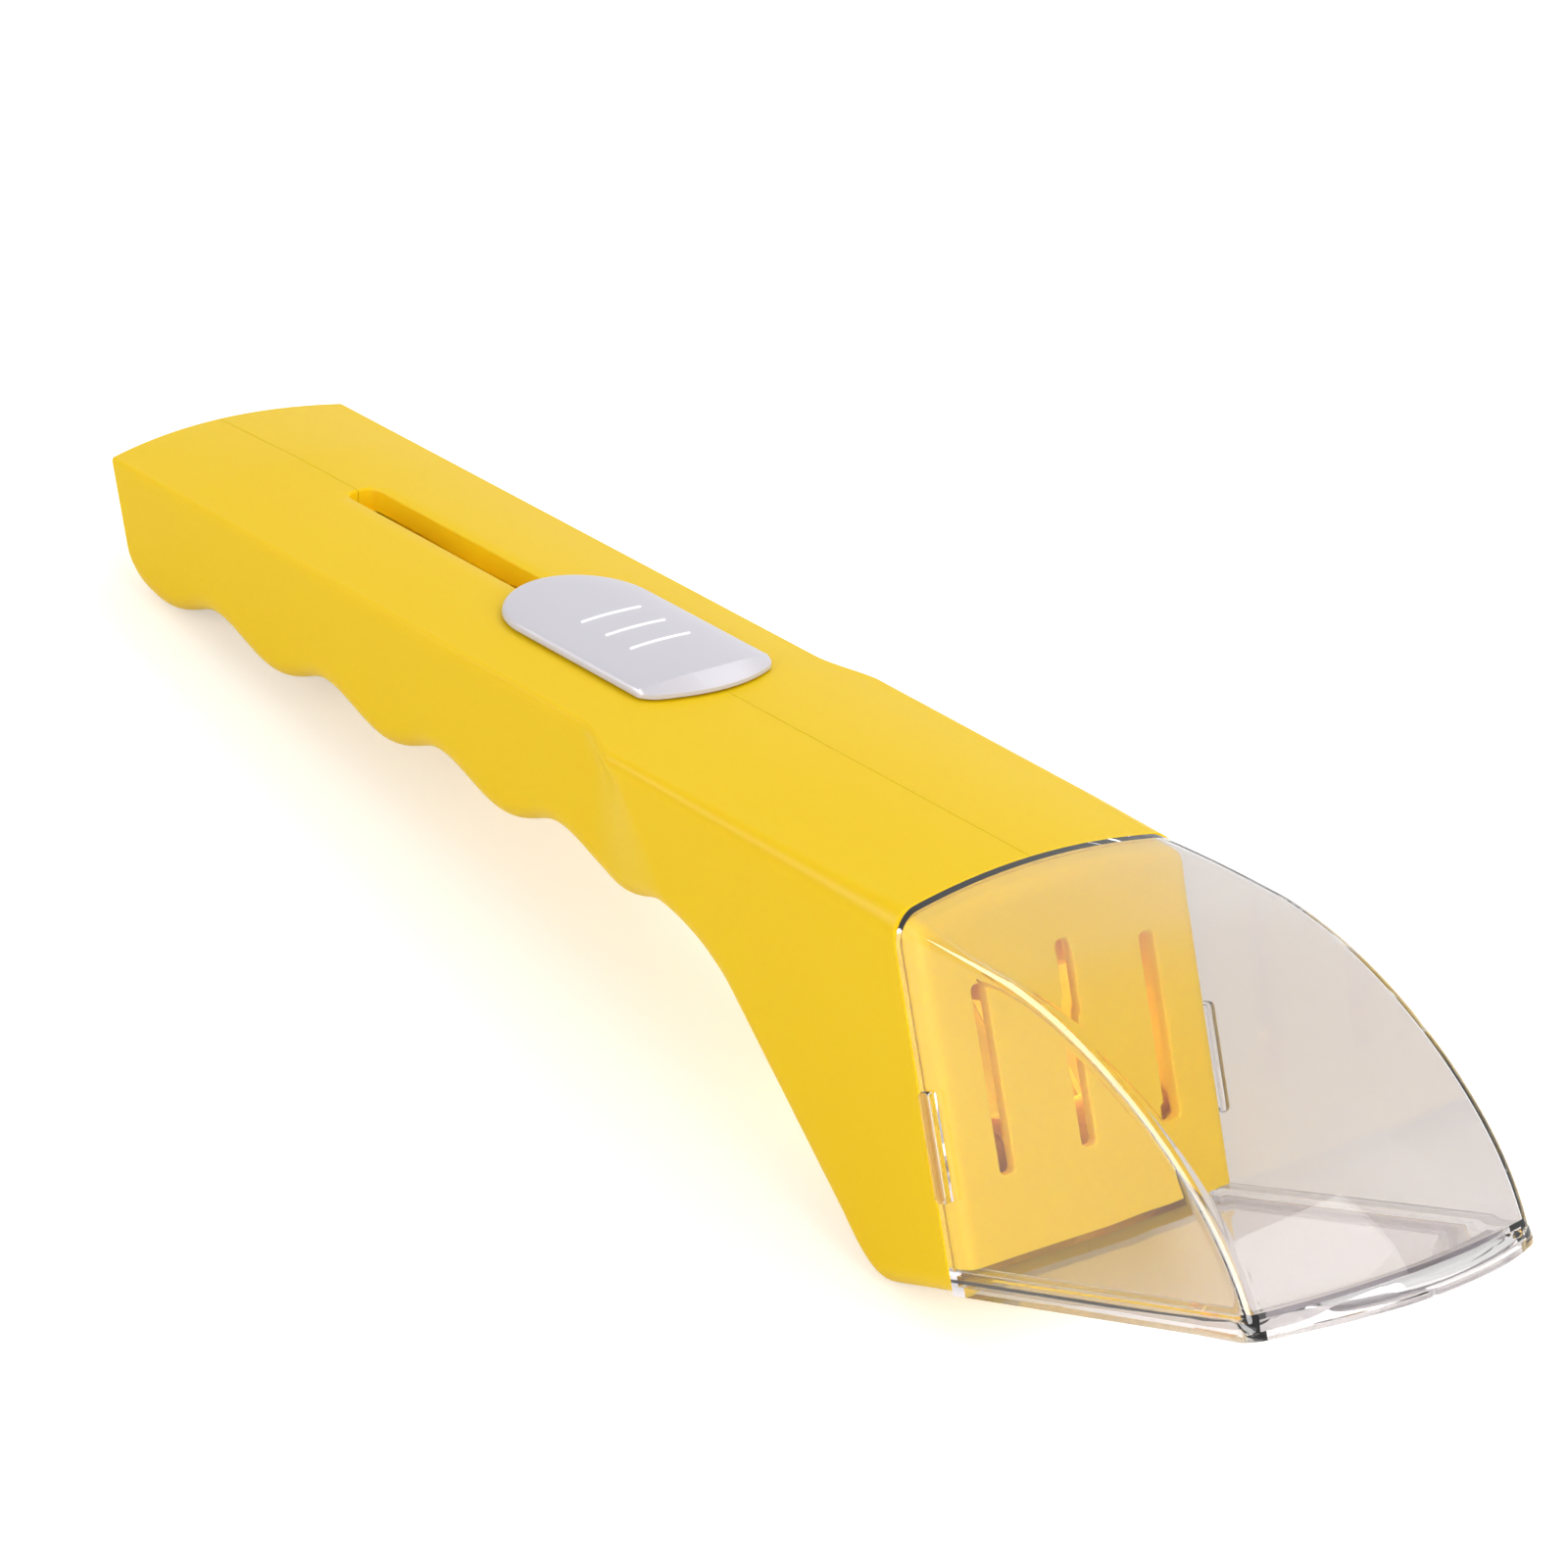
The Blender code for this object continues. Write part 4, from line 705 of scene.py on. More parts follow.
@dataclass(frozen=True)
class BodyForm:
    """Outer form of the handle and head."""

    length: float = 0.1933
    rise: float = math.radians(18.1)
    rim_height: float = 0.0564
    head_half: float = 0.0255
    handle_half: float = 0.0221
    crown_radius: float = 0.125
    wall: float = 0.0022
    top_edges: tuple[Pair, ...] = (
        (-0.1933, 0.0007), (-0.072, 0.0011), (-0.062, 0.0018), (-0.015, 0.003), (0.0, 0.0042)
    )
    low_edge: float = 0.0042
    least_edge: float = 0.0006
    rear_edges: Pair = (0.0006, 0.0024)
    rear_arch: float = 0.0022
    rear_arch_length: float = 0.02
    step_span: Pair = (-0.076, -0.046)
    step_x: float = -0.0613
    step_z: float = 0.0725
    step_lean: float = 0.39
    step_fade: float = 0.016
    step_lengths: Pair = (0.009, 0.022)
    step_bend: float = 1.4
    grip_depths: Pair = (0.0224, 0.0256)
    wave_height: float = 0.0019
    wave_pitch: float = 0.0288
    wave_inset: float = 0.0139
    belly_angle: float = math.radians(59.5)
    belly_foot_x: float = -0.0196
    belly_top_x: float = -0.0495
    foot_z: float = -0.0007
    belly_blends: Pair = (0.004, 0.006)
    parting_gap: float = 0.00012
    parting_edge: float = 0.00006
    slope_reach: float = 0.0005
    foot_start: float = 0.7
    spacings: tuple[float, ...] = (1, 0.45, 0.62, 1.2)

    def top(self, x: float) -> float:
        """Height of the top along its middle."""
        return self.rim_height - x * math.tan(self.rise)

    def crown(self, y: float) -> float:
        """How far the crowned top falls at y."""
        return y * y / (2 * self.crown_radius)

    @staticmethod
    def lower(a: float, b: float, blend: float) -> float:
        """The lower of two heights, rounded where they meet."""
        near = max(blend - abs(a - b), 0) / blend
        return min(a, b) - near * near * blend / 4

    def under(self, x: float) -> float:
        """Height of the underside: the finger waves, the belly and the flat foot.

        Args:
            x: Place along the tool.

        Returns:
            The height.
        """
        share = (x + self.length) / (self.length + self.belly_top_x)
        depth = self.grip_depths[0] + (self.grip_depths[1] - self.grip_depths[0]) * share
        phase = 2 * math.pi * (x + self.length - self.wave_inset) / self.wave_pitch
        grip = self.top(x) - depth + self.wave_height * math.sin(phase)
        belly = self.foot_z + (self.belly_foot_x - x) * math.tan(self.belly_angle)
        above = self.lower(grip, belly, self.belly_blends[0])
        return -self.lower(-above, -self.foot_z, self.belly_blends[1])

    def inner_under(self, x: float, inset: float) -> float:
        """Height of the underside moved inwards by a wall, as a ball of that radius rolls along it.

        Args:
            x: Place along the tool.
            inset: The wall.

        Returns:
            The height.
        """
        if inset <= 0:
            return self.under(x)
        shares = between(-1, 1, 16)
        return max(self.under(x + inset * s) + inset * math.sqrt(1 - s * s) for s in shares)

    def half_width(self, x: float, z: float) -> float:
        """Half width, which steps from the handle to the wider head, ever more softly lower down.

        Args:
            x: Place along the tool.
            z: Height.

        Returns:
            The half width.
        """
        down = clamped((self.step_z - z) / self.step_fade)
        length = self.step_lengths[0] + (self.step_lengths[1] - self.step_lengths[0]) * down
        head = self.step_x + (self.step_z - z) * self.step_lean
        share = clamped((x - head) / length + 1)
        wider = share * share * (1 + self.step_bend - self.step_bend * share)
        return self.handle_half + (self.head_half - self.handle_half) * wider

    def top_edge(self, x: float) -> float:
        """Radius of the long edges beside the top, which grows towards the rim.

        Args:
            x: Place along the tool.

        Returns:
            The radius.
        """
        for (x0, radius0), (x1, radius1) in zip(self.top_edges, self.top_edges[1:]):
            if x < x1:
                return radius0 + (radius1 - radius0) * max((x - x0) / (x1 - x0), 0)
        return self.top_edges[-1][1]

    def rear_drop(self, x: float, inset: float, radius: float) -> float:
        """How far the rear end's rounding falls below a face.

        Args:
            x: Place along the tool.
            inset: Wall that is left outside.
            radius: The rounding's radius outside.

        Returns:
            The fall.
        """
        round_off = max(radius - inset, self.least_edge)
        deep = max(round_off - (x + self.length - inset), 0)
        return round_off - math.sqrt(max(round_off * round_off - deep * deep, 0))

    def section(
        self, x: float, inset: float, start: float, steps: int = 9, chamfer: float = 0.0
    ) -> list[Pair]:
        """Points (y, z) of one half of the cross-section, from the top middle to the bottom middle.

        Args:
            x: Place along the tool.
            inset: Wall that is left outside.
            start: The y of the middle points.
            steps: Points of each rounding.
            chamfer: Size of the soft edge at the middle.

        Returns:
            The points.
        """
        move = inset + self.rear_drop(x, inset, self.rear_edges[0])
        top = self.top(x) - move / math.cos(self.rise)
        low = self.inner_under(x, inset) + self.rear_drop(x, inset, self.rear_edges[1])
        ahead, behind = self.under(x + self.slope_reach), self.under(x - self.slope_reach)
        slope = (ahead - behind) / (2 * self.slope_reach)
        radius = max(self.top_edge(x) - inset, self.least_edge)
        low_radius = max(self.low_edge - inset, self.least_edge)
        low_height = min(low_radius * math.hypot(1, slope), (top - low) / 3)
        side = self.half_width(x, top) - move
        points = [(start, top - chamfer)] if chamfer else []
        across = between(start + chamfer, side - radius, steps - 1)
        points += [(y, top - self.crown(y)) for y in across]
        edge = top - self.crown(side - radius) - radius
        for t in turns(steps)[1:]:
            points.append((side - radius + radius * math.sin(t), edge + radius * math.cos(t)))
        floor_edge = low + low_height
        walls = between(edge, floor_edge, steps - 1)[1:-1]
        points += [(self.half_width(x, z) - move, z) for z in walls]
        side = self.half_width(x, floor_edge) - move - low_radius
        for t in turns(steps):
            points.append((side + low_radius * math.cos(t), floor_edge - low_height * math.sin(t)))
        points.append((start + chamfer, low))
        return points + ([(start, low + chamfer)] if chamfer else [])

    def stations(self, inset: float, spacing: float, round_steps: int) -> list[float]:
        """Stations along the body, closest at the rear end's rounding and at the step.

        Args:
            inset: Wall that is left outside.
            spacing: Distance of the stations along the finger waves.
            round_steps: Stations of the rounding.

        Returns:
            The x of each station.
        """
        reach = max(self.rear_edges[1] - inset, self.least_edge)
        stations = [inset - self.length + reach * (1 - math.cos(t)) for t in turns(round_steps)]
        ends = [stations[-1], *self.step_span, self.foot_start * self.belly_foot_x, 0]
        for low, high, wide in zip(ends, ends[1:], self.spacings):
            stations += between(low, high, max(round((high - low) / (spacing * wide)), 1))[1:]
        return stations

    def arched(self, x: float, y: float) -> float:
        """X moved back towards the middle of the rear end, which is arched in plan."""
        near = clamped((self.rear_arch_length - self.length - x) / self.rear_arch_length)
        return x - self.rear_arch * near * (1 - (y / self.handle_half) ** 2)

    def on_handle(self, u: float, y: float, h: float) -> Vector:
        """Point at u behind the rim along the handle's top line, y across, h above that line."""
        x = -u * math.cos(self.rise) + h * math.sin(self.rise)
        return Vector((x, y, self.rim_height + u * math.sin(self.rise) + h * math.cos(self.rise)))


FIT, FORM = Fit(), BodyForm()


@dataclass(frozen=True)
class DoorWay:
    """The way that the door takes: along the mouth, up the belly and into the handle."""

    thick: float = 0.0005
    groove_low: float = 0.0009
    groove_height: float = 0.0016
    rail_roof: float = 0.0008
    rail_depth: float = 0.0027
    belly_bend: float = 0.022
    handle_bend: float = 0.03
    belly_clear: float = 0.0012
    tail_drop: float = 0.00675
    tail_half: float = 0.012
    cup_length: float = 0.0643
    cup_wall: float = 0.0016
    front_bulge: float = 0.0042
    front_share: float = 0.94
    groove_front_wall: float = 0.0008
    plate_front: float = 0.004
    bar_depth: float = 0.003

    @property
    def z(self) -> float:
        """Height of the sheet's middle over the mouth plane."""
        return self.groove_low + FIT.slide + self.thick / 2

    @property
    def groove_top(self) -> float:
        """Height of the top of the cup's groove."""
        return self.groove_low + self.groove_height

    @property
    def rail_top(self) -> float:
        """Height of the top of the cup's rails."""
        return self.groove_top + self.rail_roof

    @property
    def half(self) -> float:
        """Half width of the sheet."""
        return FORM.head_half - FORM.wall - 2 * FIT.gap

    @property
    def bar_front(self) -> float:
        """Front of the edge bar at its sides."""
        return self.cup_length - self.cup_wall - FIT.embed - FIT.gap

    @property
    def bar_bulge(self) -> float:
        """How far the edge bar's front bulges in its middle."""
        return self.front_bulge * self.front_share

    @property
    def travel(self) -> float:
        """How far the door slides."""
        return self.bar_front + self.bar_bulge - self.plate_front

    @property
    def front(self) -> float:
        """Front of the sheet at its sides."""
        return self.cup_length - self.groove_front_wall - FIT.gap

    @property
    def bend(self) -> float:
        """Angle of the second bend."""
        return FORM.belly_angle - FORM.rise

    @property
    def start(self) -> float:
        """Find where the first bend starts, so that the sheet clears the belly's wall.

        Returns:
            The x.
        """
        clear = FORM.wall + self.belly_clear + (FORM.foot_z - self.z) * math.cos(FORM.belly_angle)
        foot = FORM.belly_foot_x + clear / math.sin(FORM.belly_angle)
        return foot + self.belly_bend * math.tan(FORM.belly_angle / 2)

    @property
    def straight(self) -> float:
        """Find how far apart the two bends are, so that the tail runs at its depth in the handle.

        Returns:
            The length between them.
        """
        cut = self.belly_bend * math.tan(FORM.belly_angle / 2)
        tail = FORM.top(self.start - cut) - self.tail_drop / math.cos(FORM.rise)
        rise = math.sin(FORM.belly_angle) - math.cos(FORM.belly_angle) * math.tan(FORM.rise)
        return (tail - self.z) / rise - cut - self.handle_bend * math.tan(self.bend / 2)

    @property
    def first_arc(self) -> float:
        """Length of the first bend."""
        return self.belly_bend * FORM.belly_angle

    @property
    def second_start(self) -> float:
        """Length at which the second bend starts."""
        return self.first_arc + self.straight

    @property
    def end(self) -> float:
        """Length at which the second bend ends."""
        return self.second_start + self.handle_bend * self.bend

    def at(self, s: float, across: float = 0.0) -> Pair:
        """Point (x, z) at a length past the start of the first bend.

        Args:
            s: The length.
            across: Distance from the way, towards the inside of the body.

        Returns:
            The point.
        """
        turn = min(max(s, 0) / self.belly_bend, FORM.belly_angle)
        x = self.start - min(s, 0) - self.belly_bend * math.sin(turn)
        z = self.z + self.belly_bend * (1 - math.cos(turn))
        run = min(max(s - self.first_arc, 0), self.straight)
        x, z = x - run * math.cos(turn), z + run * math.sin(turn)
        if s > self.second_start:
            turn -= min((s - self.second_start) / self.handle_bend, self.bend)
            x -= self.handle_bend * (math.sin(FORM.belly_angle) - math.sin(turn))
            z -= self.handle_bend * (math.cos(FORM.belly_angle) - math.cos(turn))
            run = max(s - self.end, 0)
            x, z = x - run * math.cos(turn), z + run * math.sin(turn)
        return x + across * math.sin(turn), z + across * math.cos(turn)

    def length_to(self, u: float) -> float:
        """Length at which the way is at a distance u behind the rim, in the handle."""
        x, z = self.at(self.end)
        return self.end + u + x * math.cos(FORM.rise) - (z - FORM.rim_height) * math.sin(FORM.rise)

    def strip(self, stations: Sequence[Pair], low: float, high: float) -> Solid:
        """Solid that follows the way.

        Args:
            stations: Length along the way and half width of each cross-section.
            low: Distance of its lower face from the way.
            high: Distance of its upper face.

        Returns:
            The solid.
        """
        loops = []
        for s, half in stations:
            (lx, lz), (hx, hz) = self.at(s, low), self.at(s, high)
            loops.append([(lx, -half, lz), (lx, half, lz), (hx, half, hz), (hx, -half, hz)])
        return Solid().loft(loops)


WAY = DoorWay()


# Sub-assemblies


@dataclass
class Screws:
    """Pan-head screws with a real thread, set out by Geometry Nodes."""

    head_radius: float = 0.0025
    head_height: float = 0.0017
    core_radius: float = 0.00103
    length: float = 0.0162
    thread: float = 0.0003
    recess: float = 0.0028
    recess_half: float = 0.00035
    recess_rings: tuple[Pair, ...] = ((0.35, 0.4), (1, 0.95), (1.1, 1.4))
    seat_shares: Pair = (0.97, 0.06)
    dome_across: Pair = (0.7, 0.3)
    dome_up: Pair = (0.5, 0.5)
    tip_share: float = 0.97
    thread_pitch: float = 0.0011
    bare_turns: float = 2.5

    def head(self) -> bpy.types.Object:
        """Make the head with its cross recess, its seat at height zero.

        Returns:
            The head.
        """
        wide, tall = self.head_radius, self.head_height
        (seat, edge), (flat, bow), (low, rise) = self.seat_shares, self.dome_across, self.dome_up
        profile = [(self.core_radius, 0), (wide * seat, 0), (wide, tall * edge)]
        profile += [(wide * (flat + bow * math.cos(t)), tall * (low + rise * math.sin(t))) for t in turns(6)]
        head = Solid().turned(profile, in_tool).done("head")
        thin, reach = self.recess_half, self.recess / 2
        arms = [(thin, reach), (thin, thin), (reach, thin)]
        cross = arms + [(a, -b) for a, b in reversed(arms)]
        cross += [(-a, -b) for a, b in arms] + [(-a, b) for a, b in reversed(arms)]
        loops = [[(a * share, b * share, tall * up) for a, b in cross] for share, up in self.recess_rings]
        carve(head, Solid().loft(loops))
        return shade(head, SMALL_TURN)

    def build(
        self, name: str, places: Sequence[Vector], turn: Euler, material: bpy.types.Material
    ) -> bpy.types.Object:
        """Make the screws as one piece.

        Args:
            name: The piece's name.
            places: Each screw's seat, in the tool's own frame.
            turn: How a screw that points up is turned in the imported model's frame.
            material: Their finish.

        Returns:
            The piece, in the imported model's frame.
        """
        thread_turns = self.length / self.thread_pitch - self.bare_turns
        sizes: dict[str, Any] = {
            "Core Radius": self.core_radius,
            "Length": self.length,
            "Thread Depth": self.thread,
            "Turns": thread_turns,
            "Thread Length": thread_turns * self.thread_pitch,
        }
        head = self.head()
        core = {"Vertices": 24, "Radius": "given.Core Radius", "Depth": "given.Length"}
        helix = {"Resolution": 18, "Rotations": "given.Turns", "Height": "given.Thread Length"}
        helix |= {"Start Radius": "given.Core Radius", "End Radius": "given.Core Radius"}
        wire = {"Curve": "helix", "Profile Curve": "ridge", "Fill Caps": True}
        spread = {"Points": "given.Geometry", "Instance": "screw", "Rotation": turn}
        rows = (
            ("head", "GeometryNodeObjectInfo", {"Object": head}),
            ("half", "ShaderNodeMath", {0: "given.Length", 1: -0.5}, TIMES),
            ("down", "ShaderNodeCombineXYZ", {"Z": "half"}),
            ("core", "GeometryNodeMeshCylinder", core),
            ("shank", "GeometryNodeTransform", {"Geometry": "core", "Translation": "down"}),
            ("helix", "GeometryNodeCurveSpiral", helix),
            ("ridge", "GeometryNodeCurvePrimitiveCircle", {"Resolution": 4, "Radius": "given.Thread Depth"}),
            ("thread", "GeometryNodeCurveToMesh", wire),
            ("tip", "ShaderNodeMath", {0: "given.Length", 1: -self.tip_share}, TIMES),
            ("lower", "ShaderNodeCombineXYZ", {"Z": "tip"}),
            ("wound", "GeometryNodeTransform", {"Geometry": "thread", "Translation": "lower"}),
            ("screw", "GeometryNodeJoinGeometry", {"Geometry": ["head.Geometry", "shank", "wound"]}),
            ("spread", "GeometryNodeInstanceOnPoints", spread),
        )
        made = grow(name, sizes, rows, [REST @ place for place in places], material)
        bpy.data.objects.remove(head)
        return shade(made, SMALL_TURN)


@dataclass
class Slide:
    """The thumb slide, with the carriage, the clamp and the screws under it."""

    front: float = 0.07
    rear: float = 0.1177
    half: float = 0.0123
    sag: float = 0.0027
    corner: float = 0.0052
    front_lean: float = 0.47
    rear_round: float = 0.0118
    side_height: float = 0.0011
    edge: float = 0.0008
    top_height: float = 0.0019
    crest: float = 0.0024
    shoulder: float = 3.0
    base_rings: tuple[float, ...] = (0.1, 0.5, 0.99, 1)
    top_rings: tuple[float, ...] = (
        1, 0.997, 0.99, 0.98, 0.965, 0.95, 0.9, 0.8, 0.68, 0.55, 0.42, 0.3, 0.18, 0.08
    )
    lens_low: float = 0.0006
    ridge_edge: float = 0.00022
    ridge_turn: float = 27.0
    ridge_back: float = 0.0028
    ridge_fade: float = 0.014
    rib_radius: float = 0.00029
    rib_half: float = 0.0053
    rib_pitch: float = 0.0061
    rib_back: float = 0.0165
    rib_count: int = 3
    neck_back: float = 0.0214
    neck_length: float = 0.012
    neck_corner: float = 0.7
    slot_half: float = 0.0027
    slot_rail: float = 0.0012
    carriage_drop: float = 0.004
    carriage_thick: float = 0.0022
    carriage_length: float = 0.02
    carriage_half: float = 0.017
    moulded_edge: float = 0.00012
    ledge_overlap: float = 0.0016
    ledge_spare: float = 0.0067
    ledge_thick: float = 0.0014
    clamp_thick: float = 0.0015
    screw_pitch: float = 0.0066

    @property
    def neck_front(self) -> float:
        """The neck's front, as a distance behind the rim."""
        return self.front + self.neck_back

    @property
    def middle(self) -> float:
        """The neck's middle, as a distance behind the rim."""
        return self.neck_front + self.neck_length / 2

    @property
    def slot_ends(self) -> Pair:
        """Both ends of the slot, as distances behind the rim."""
        return self.neck_front - FIT.gap, self.neck_front + self.neck_length + WAY.travel + FIT.gap

    @property
    def carriage_front(self) -> float:
        """The carriage's front, as a distance behind the rim."""
        return self.middle - self.carriage_length / 2

    @property
    def clamp_seat(self) -> float:
        """Depth of the clamp screws' seats."""
        sheet = self.carriage_drop + self.carriage_thick + 2 * FIT.gap + WAY.thick
        return sheet + self.clamp_thick + FIT.gap

    @property
    def screw_places(self) -> list[float]:
        """The clamp screws, as distances behind the rim."""
        return [self.middle + side * self.screw_pitch / 2 for side in (-1, 1)]

    def front_edge(self) -> list[Pair]:
        """Points (u, y) of half of the front edge: a shallow arc that runs on into a round corner.

        Returns:
            The points.
        """
        lean, corner = self.front_lean, self.corner
        corner_y = self.half + FIT.gap / 2 - corner * (1 - math.sin(lean))
        edge = [(self.front + self.sag * share**2, corner_y * share) for share in between(0, 1, 14)]
        for turn in turns(12, lean)[1:]:
            u = self.front + self.sag + corner * (math.cos(lean) - math.cos(turn))
            edge.append((u, corner_y + corner * (math.sin(turn) - math.sin(lean))))
        return edge + [(edge[-1][0], self.half + FIT.margin)]

    def height(self, u: float, y: float) -> float:
        """Height of the pad's top above its underside, crowned, with a ridge that fades rearwards.

        Args:
            u: Distance behind the rim.
            y: Place across.

        Returns:
            The height.
        """
        back = max(u - self.rear + self.rear_round, 0) / self.rear_round
        edge = min(math.hypot(back, y / self.half), 1)
        fade = clamped((u - self.front - self.ridge_back) / self.ridge_fade)
        middle = self.top_height + (self.crest - self.top_height) * (1 - fade) ** 2
        deep = max(self.edge - (1 - edge) * self.half, 0)
        rounding = self.edge - math.sqrt(max(self.edge**2 - deep * deep, 0))
        return self.side_height + (middle - self.side_height) * (1 - edge**self.shoulder) - rounding

    def pad(self) -> bpy.types.Object:
        """Make the pad with its neck.

        Returns:
            The pad, in the tool's own frame.
        """
        front, round_u = self.front - FIT.margin, self.rear - self.rear_round
        side = [(front, y) for y in between(0, self.half, 10)[:-1]]
        side += [(u, self.half) for u in between(front, round_u, 26)[:-1]]
        side += [(round_u + self.rear_round * math.sin(t), self.half * math.cos(t)) for t in turns(24)]
        outline = side + [(u, -y) for u, y in reversed(side[1:-1])]
        middle = (self.front + self.rear) / 2
        loops = []
        for share, on_top in [(n, 0) for n in self.base_rings] + [(n, 1) for n in self.top_rings]:
            loop = []
            for edge_u, edge_y in outline:
                u, y = middle + share * (edge_u - middle), share * edge_y
                up = self.height(u, y) if on_top else (self.edge / 3 if share == 1 else 0)
                loop.append(FORM.on_handle(u, y, FIT.slide - FORM.crown(y) + up))
            loops.append(loop)
        made = Solid().loft(loops).done("thumb_slide_pad")
        carve(made, self.front_cutter())
        bevel(made, self.ridge_edge, self.ridge_turn)
        half = self.slot_half - FIT.slide
        neck = ((self.neck_front, self.neck_front + self.neck_length), (-half, half))
        heights = ((FIT.gap - self.carriage_drop, 0), (FIT.slide + FIT.embed, 0))
        carve(made, Solid().rings(FORM.on_handle, neck, half * self.neck_corner, heights), Carve.JOIN)
        return made

    def front_cutter(self) -> Solid:
        """Make the cutter that gives the pad its arched front and the sloping face above it.

        Returns:
            The cutter.
        """
        rise = 2 * (self.crest - self.lens_low)
        edge = self.front_edge()
        loops = []
        for front, y in [(u, -y) for u, y in reversed(edge[1:])] + edge:
            far, back = self.front - 2 * FIT.margin, front + 2 * self.ridge_back
            base = FIT.slide + self.lens_low - FORM.crown(y)
            high = base + rise + FIT.margin
            outline = [(far, -FIT.margin), (front, -FIT.margin), (front, base), (back, base + rise)]
            loops.append([FORM.on_handle(u, y, h) for u, h in outline + [(back, high), (far, high)]])
        return Solid().loft(loops)

    def grip_lines(self, material: bpy.types.Material) -> bpy.types.Object:
        """Make the raised grip lines with Geometry Nodes.

        Args:
            material: Their finish.

        Returns:
            The lines as one plain mesh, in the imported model's frame.
        """
        first = self.front + self.rib_back
        fall = self.height(first, 0) - self.height(first, self.rib_half) + FORM.crown(self.rib_half)
        sizes: dict[str, Any] = {
            "Count": self.rib_count,
            "Pitch": self.rib_pitch,
            "Half Length": self.rib_half,
            "Radius": self.rib_radius,
            "Crown": fall / (self.rib_half * self.rib_half),
        }
        across = Euler((math.pi / 2, 0, 0))
        rows = (
            ("ball", "GeometryNodeMeshUVSphere", {"Segments": 16, "Rings": 9, "Radius": "given.Radius"}),
            ("place", "GeometryNodeInputPosition", {}),
            ("parts", "ShaderNodeSeparateXYZ", {0: "place"}),
            ("end", "ShaderNodeMath", {0: "parts.Z"}, {"operation": "SIGN"}),
            ("reach", "ShaderNodeMath", {0: "end", 1: "given.Half Length"}, TIMES),
            ("apart", "ShaderNodeCombineXYZ", {"Z": "reach"}),
            ("long", "GeometryNodeSetPosition", {"Geometry": "ball", "Offset": "apart"}),
            ("laid", "GeometryNodeTransform", {"Geometry": "long", "Rotation": across}),
            ("finer", "GeometryNodeSubdivideMesh", {"Mesh": "laid", "Level": 2}),
            ("square", "ShaderNodeMath", {0: "parts.Y", 1: "parts.Y"}, TIMES),
            ("sag", "ShaderNodeMath", {0: "square", 1: "given.Crown"}, TIMES),
            ("down", "ShaderNodeMath", {0: "sag", 1: -1.0}, TIMES),
            ("bow", "ShaderNodeCombineXYZ", {"Z": "down"}),
            ("bowed", "GeometryNodeSetPosition", {"Geometry": "finer", "Offset": "bow"}),
            ("step", "ShaderNodeCombineXYZ", {"X": "given.Pitch"}),
            ("line", "GeometryNodeMeshLine", {"Count": "given.Count", "Offset": "step"}),
            ("spread", "GeometryNodeInstanceOnPoints", {"Points": "line", "Instance": "bowed"}),
        )
        made = grow("thumb_grip_lines", sizes, rows, [Vector()], material)
        origin = FORM.on_handle(first, 0, FIT.slide + self.height(first, 0))
        along = FORM.on_handle(first + 1, 0, 0) - FORM.on_handle(first, 0, 0)
        up = FORM.on_handle(first, 0, 1) - FORM.on_handle(first, 0, 0)
        turn = Matrix((along, up.cross(along), up)).transposed().to_4x4()
        made.data.transform(REST @ Matrix.Translation(origin) @ turn)
        return made

    def build(self, nodes: dict[str, bpy.types.Object]) -> None:
        """Make and dress the slide, the carriage, the clamp and its screws.

        Args:
            nodes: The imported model's nodes, by name.
        """
        settle(shade(self.pad(), MOULDED_TURN, REST), Body.THUMB, GREY_ABS.material(), "thumb_slide")
        # The grip lines' flat white is a painted highlight on their tops.
        grip_highlight = GRIP_LINES_PAINTED_HIGHLIGHT.material()
        settle(self.grip_lines(grip_highlight), Body.THUMB, grip_highlight)
        white, steel = WHITE_ACETAL.material(), ZINC_STEEL.material()
        for node in ("carriage", "sheet_clamp"):
            settle(copy_of(nodes[node], SMALL_TURN, self.moulded_edge), Body.THUMB, white, node)
        places = [FORM.on_handle(u, 0, -self.clamp_seat) for u in self.screw_places]
        turn = Euler((math.pi, REST_TURN + FORM.rise, 0))
        screws = Screws(
            head_radius=0.0016, head_height=0.0012, core_radius=0.00058,
            length=0.0088, thread=0.00022, recess=0.0018,
        )
        made = screws.build("clamp_screws", places, turn, steel)
        settle(made, Body.THUMB, steel, "clamp_screw_1", "clamp_screw_2")


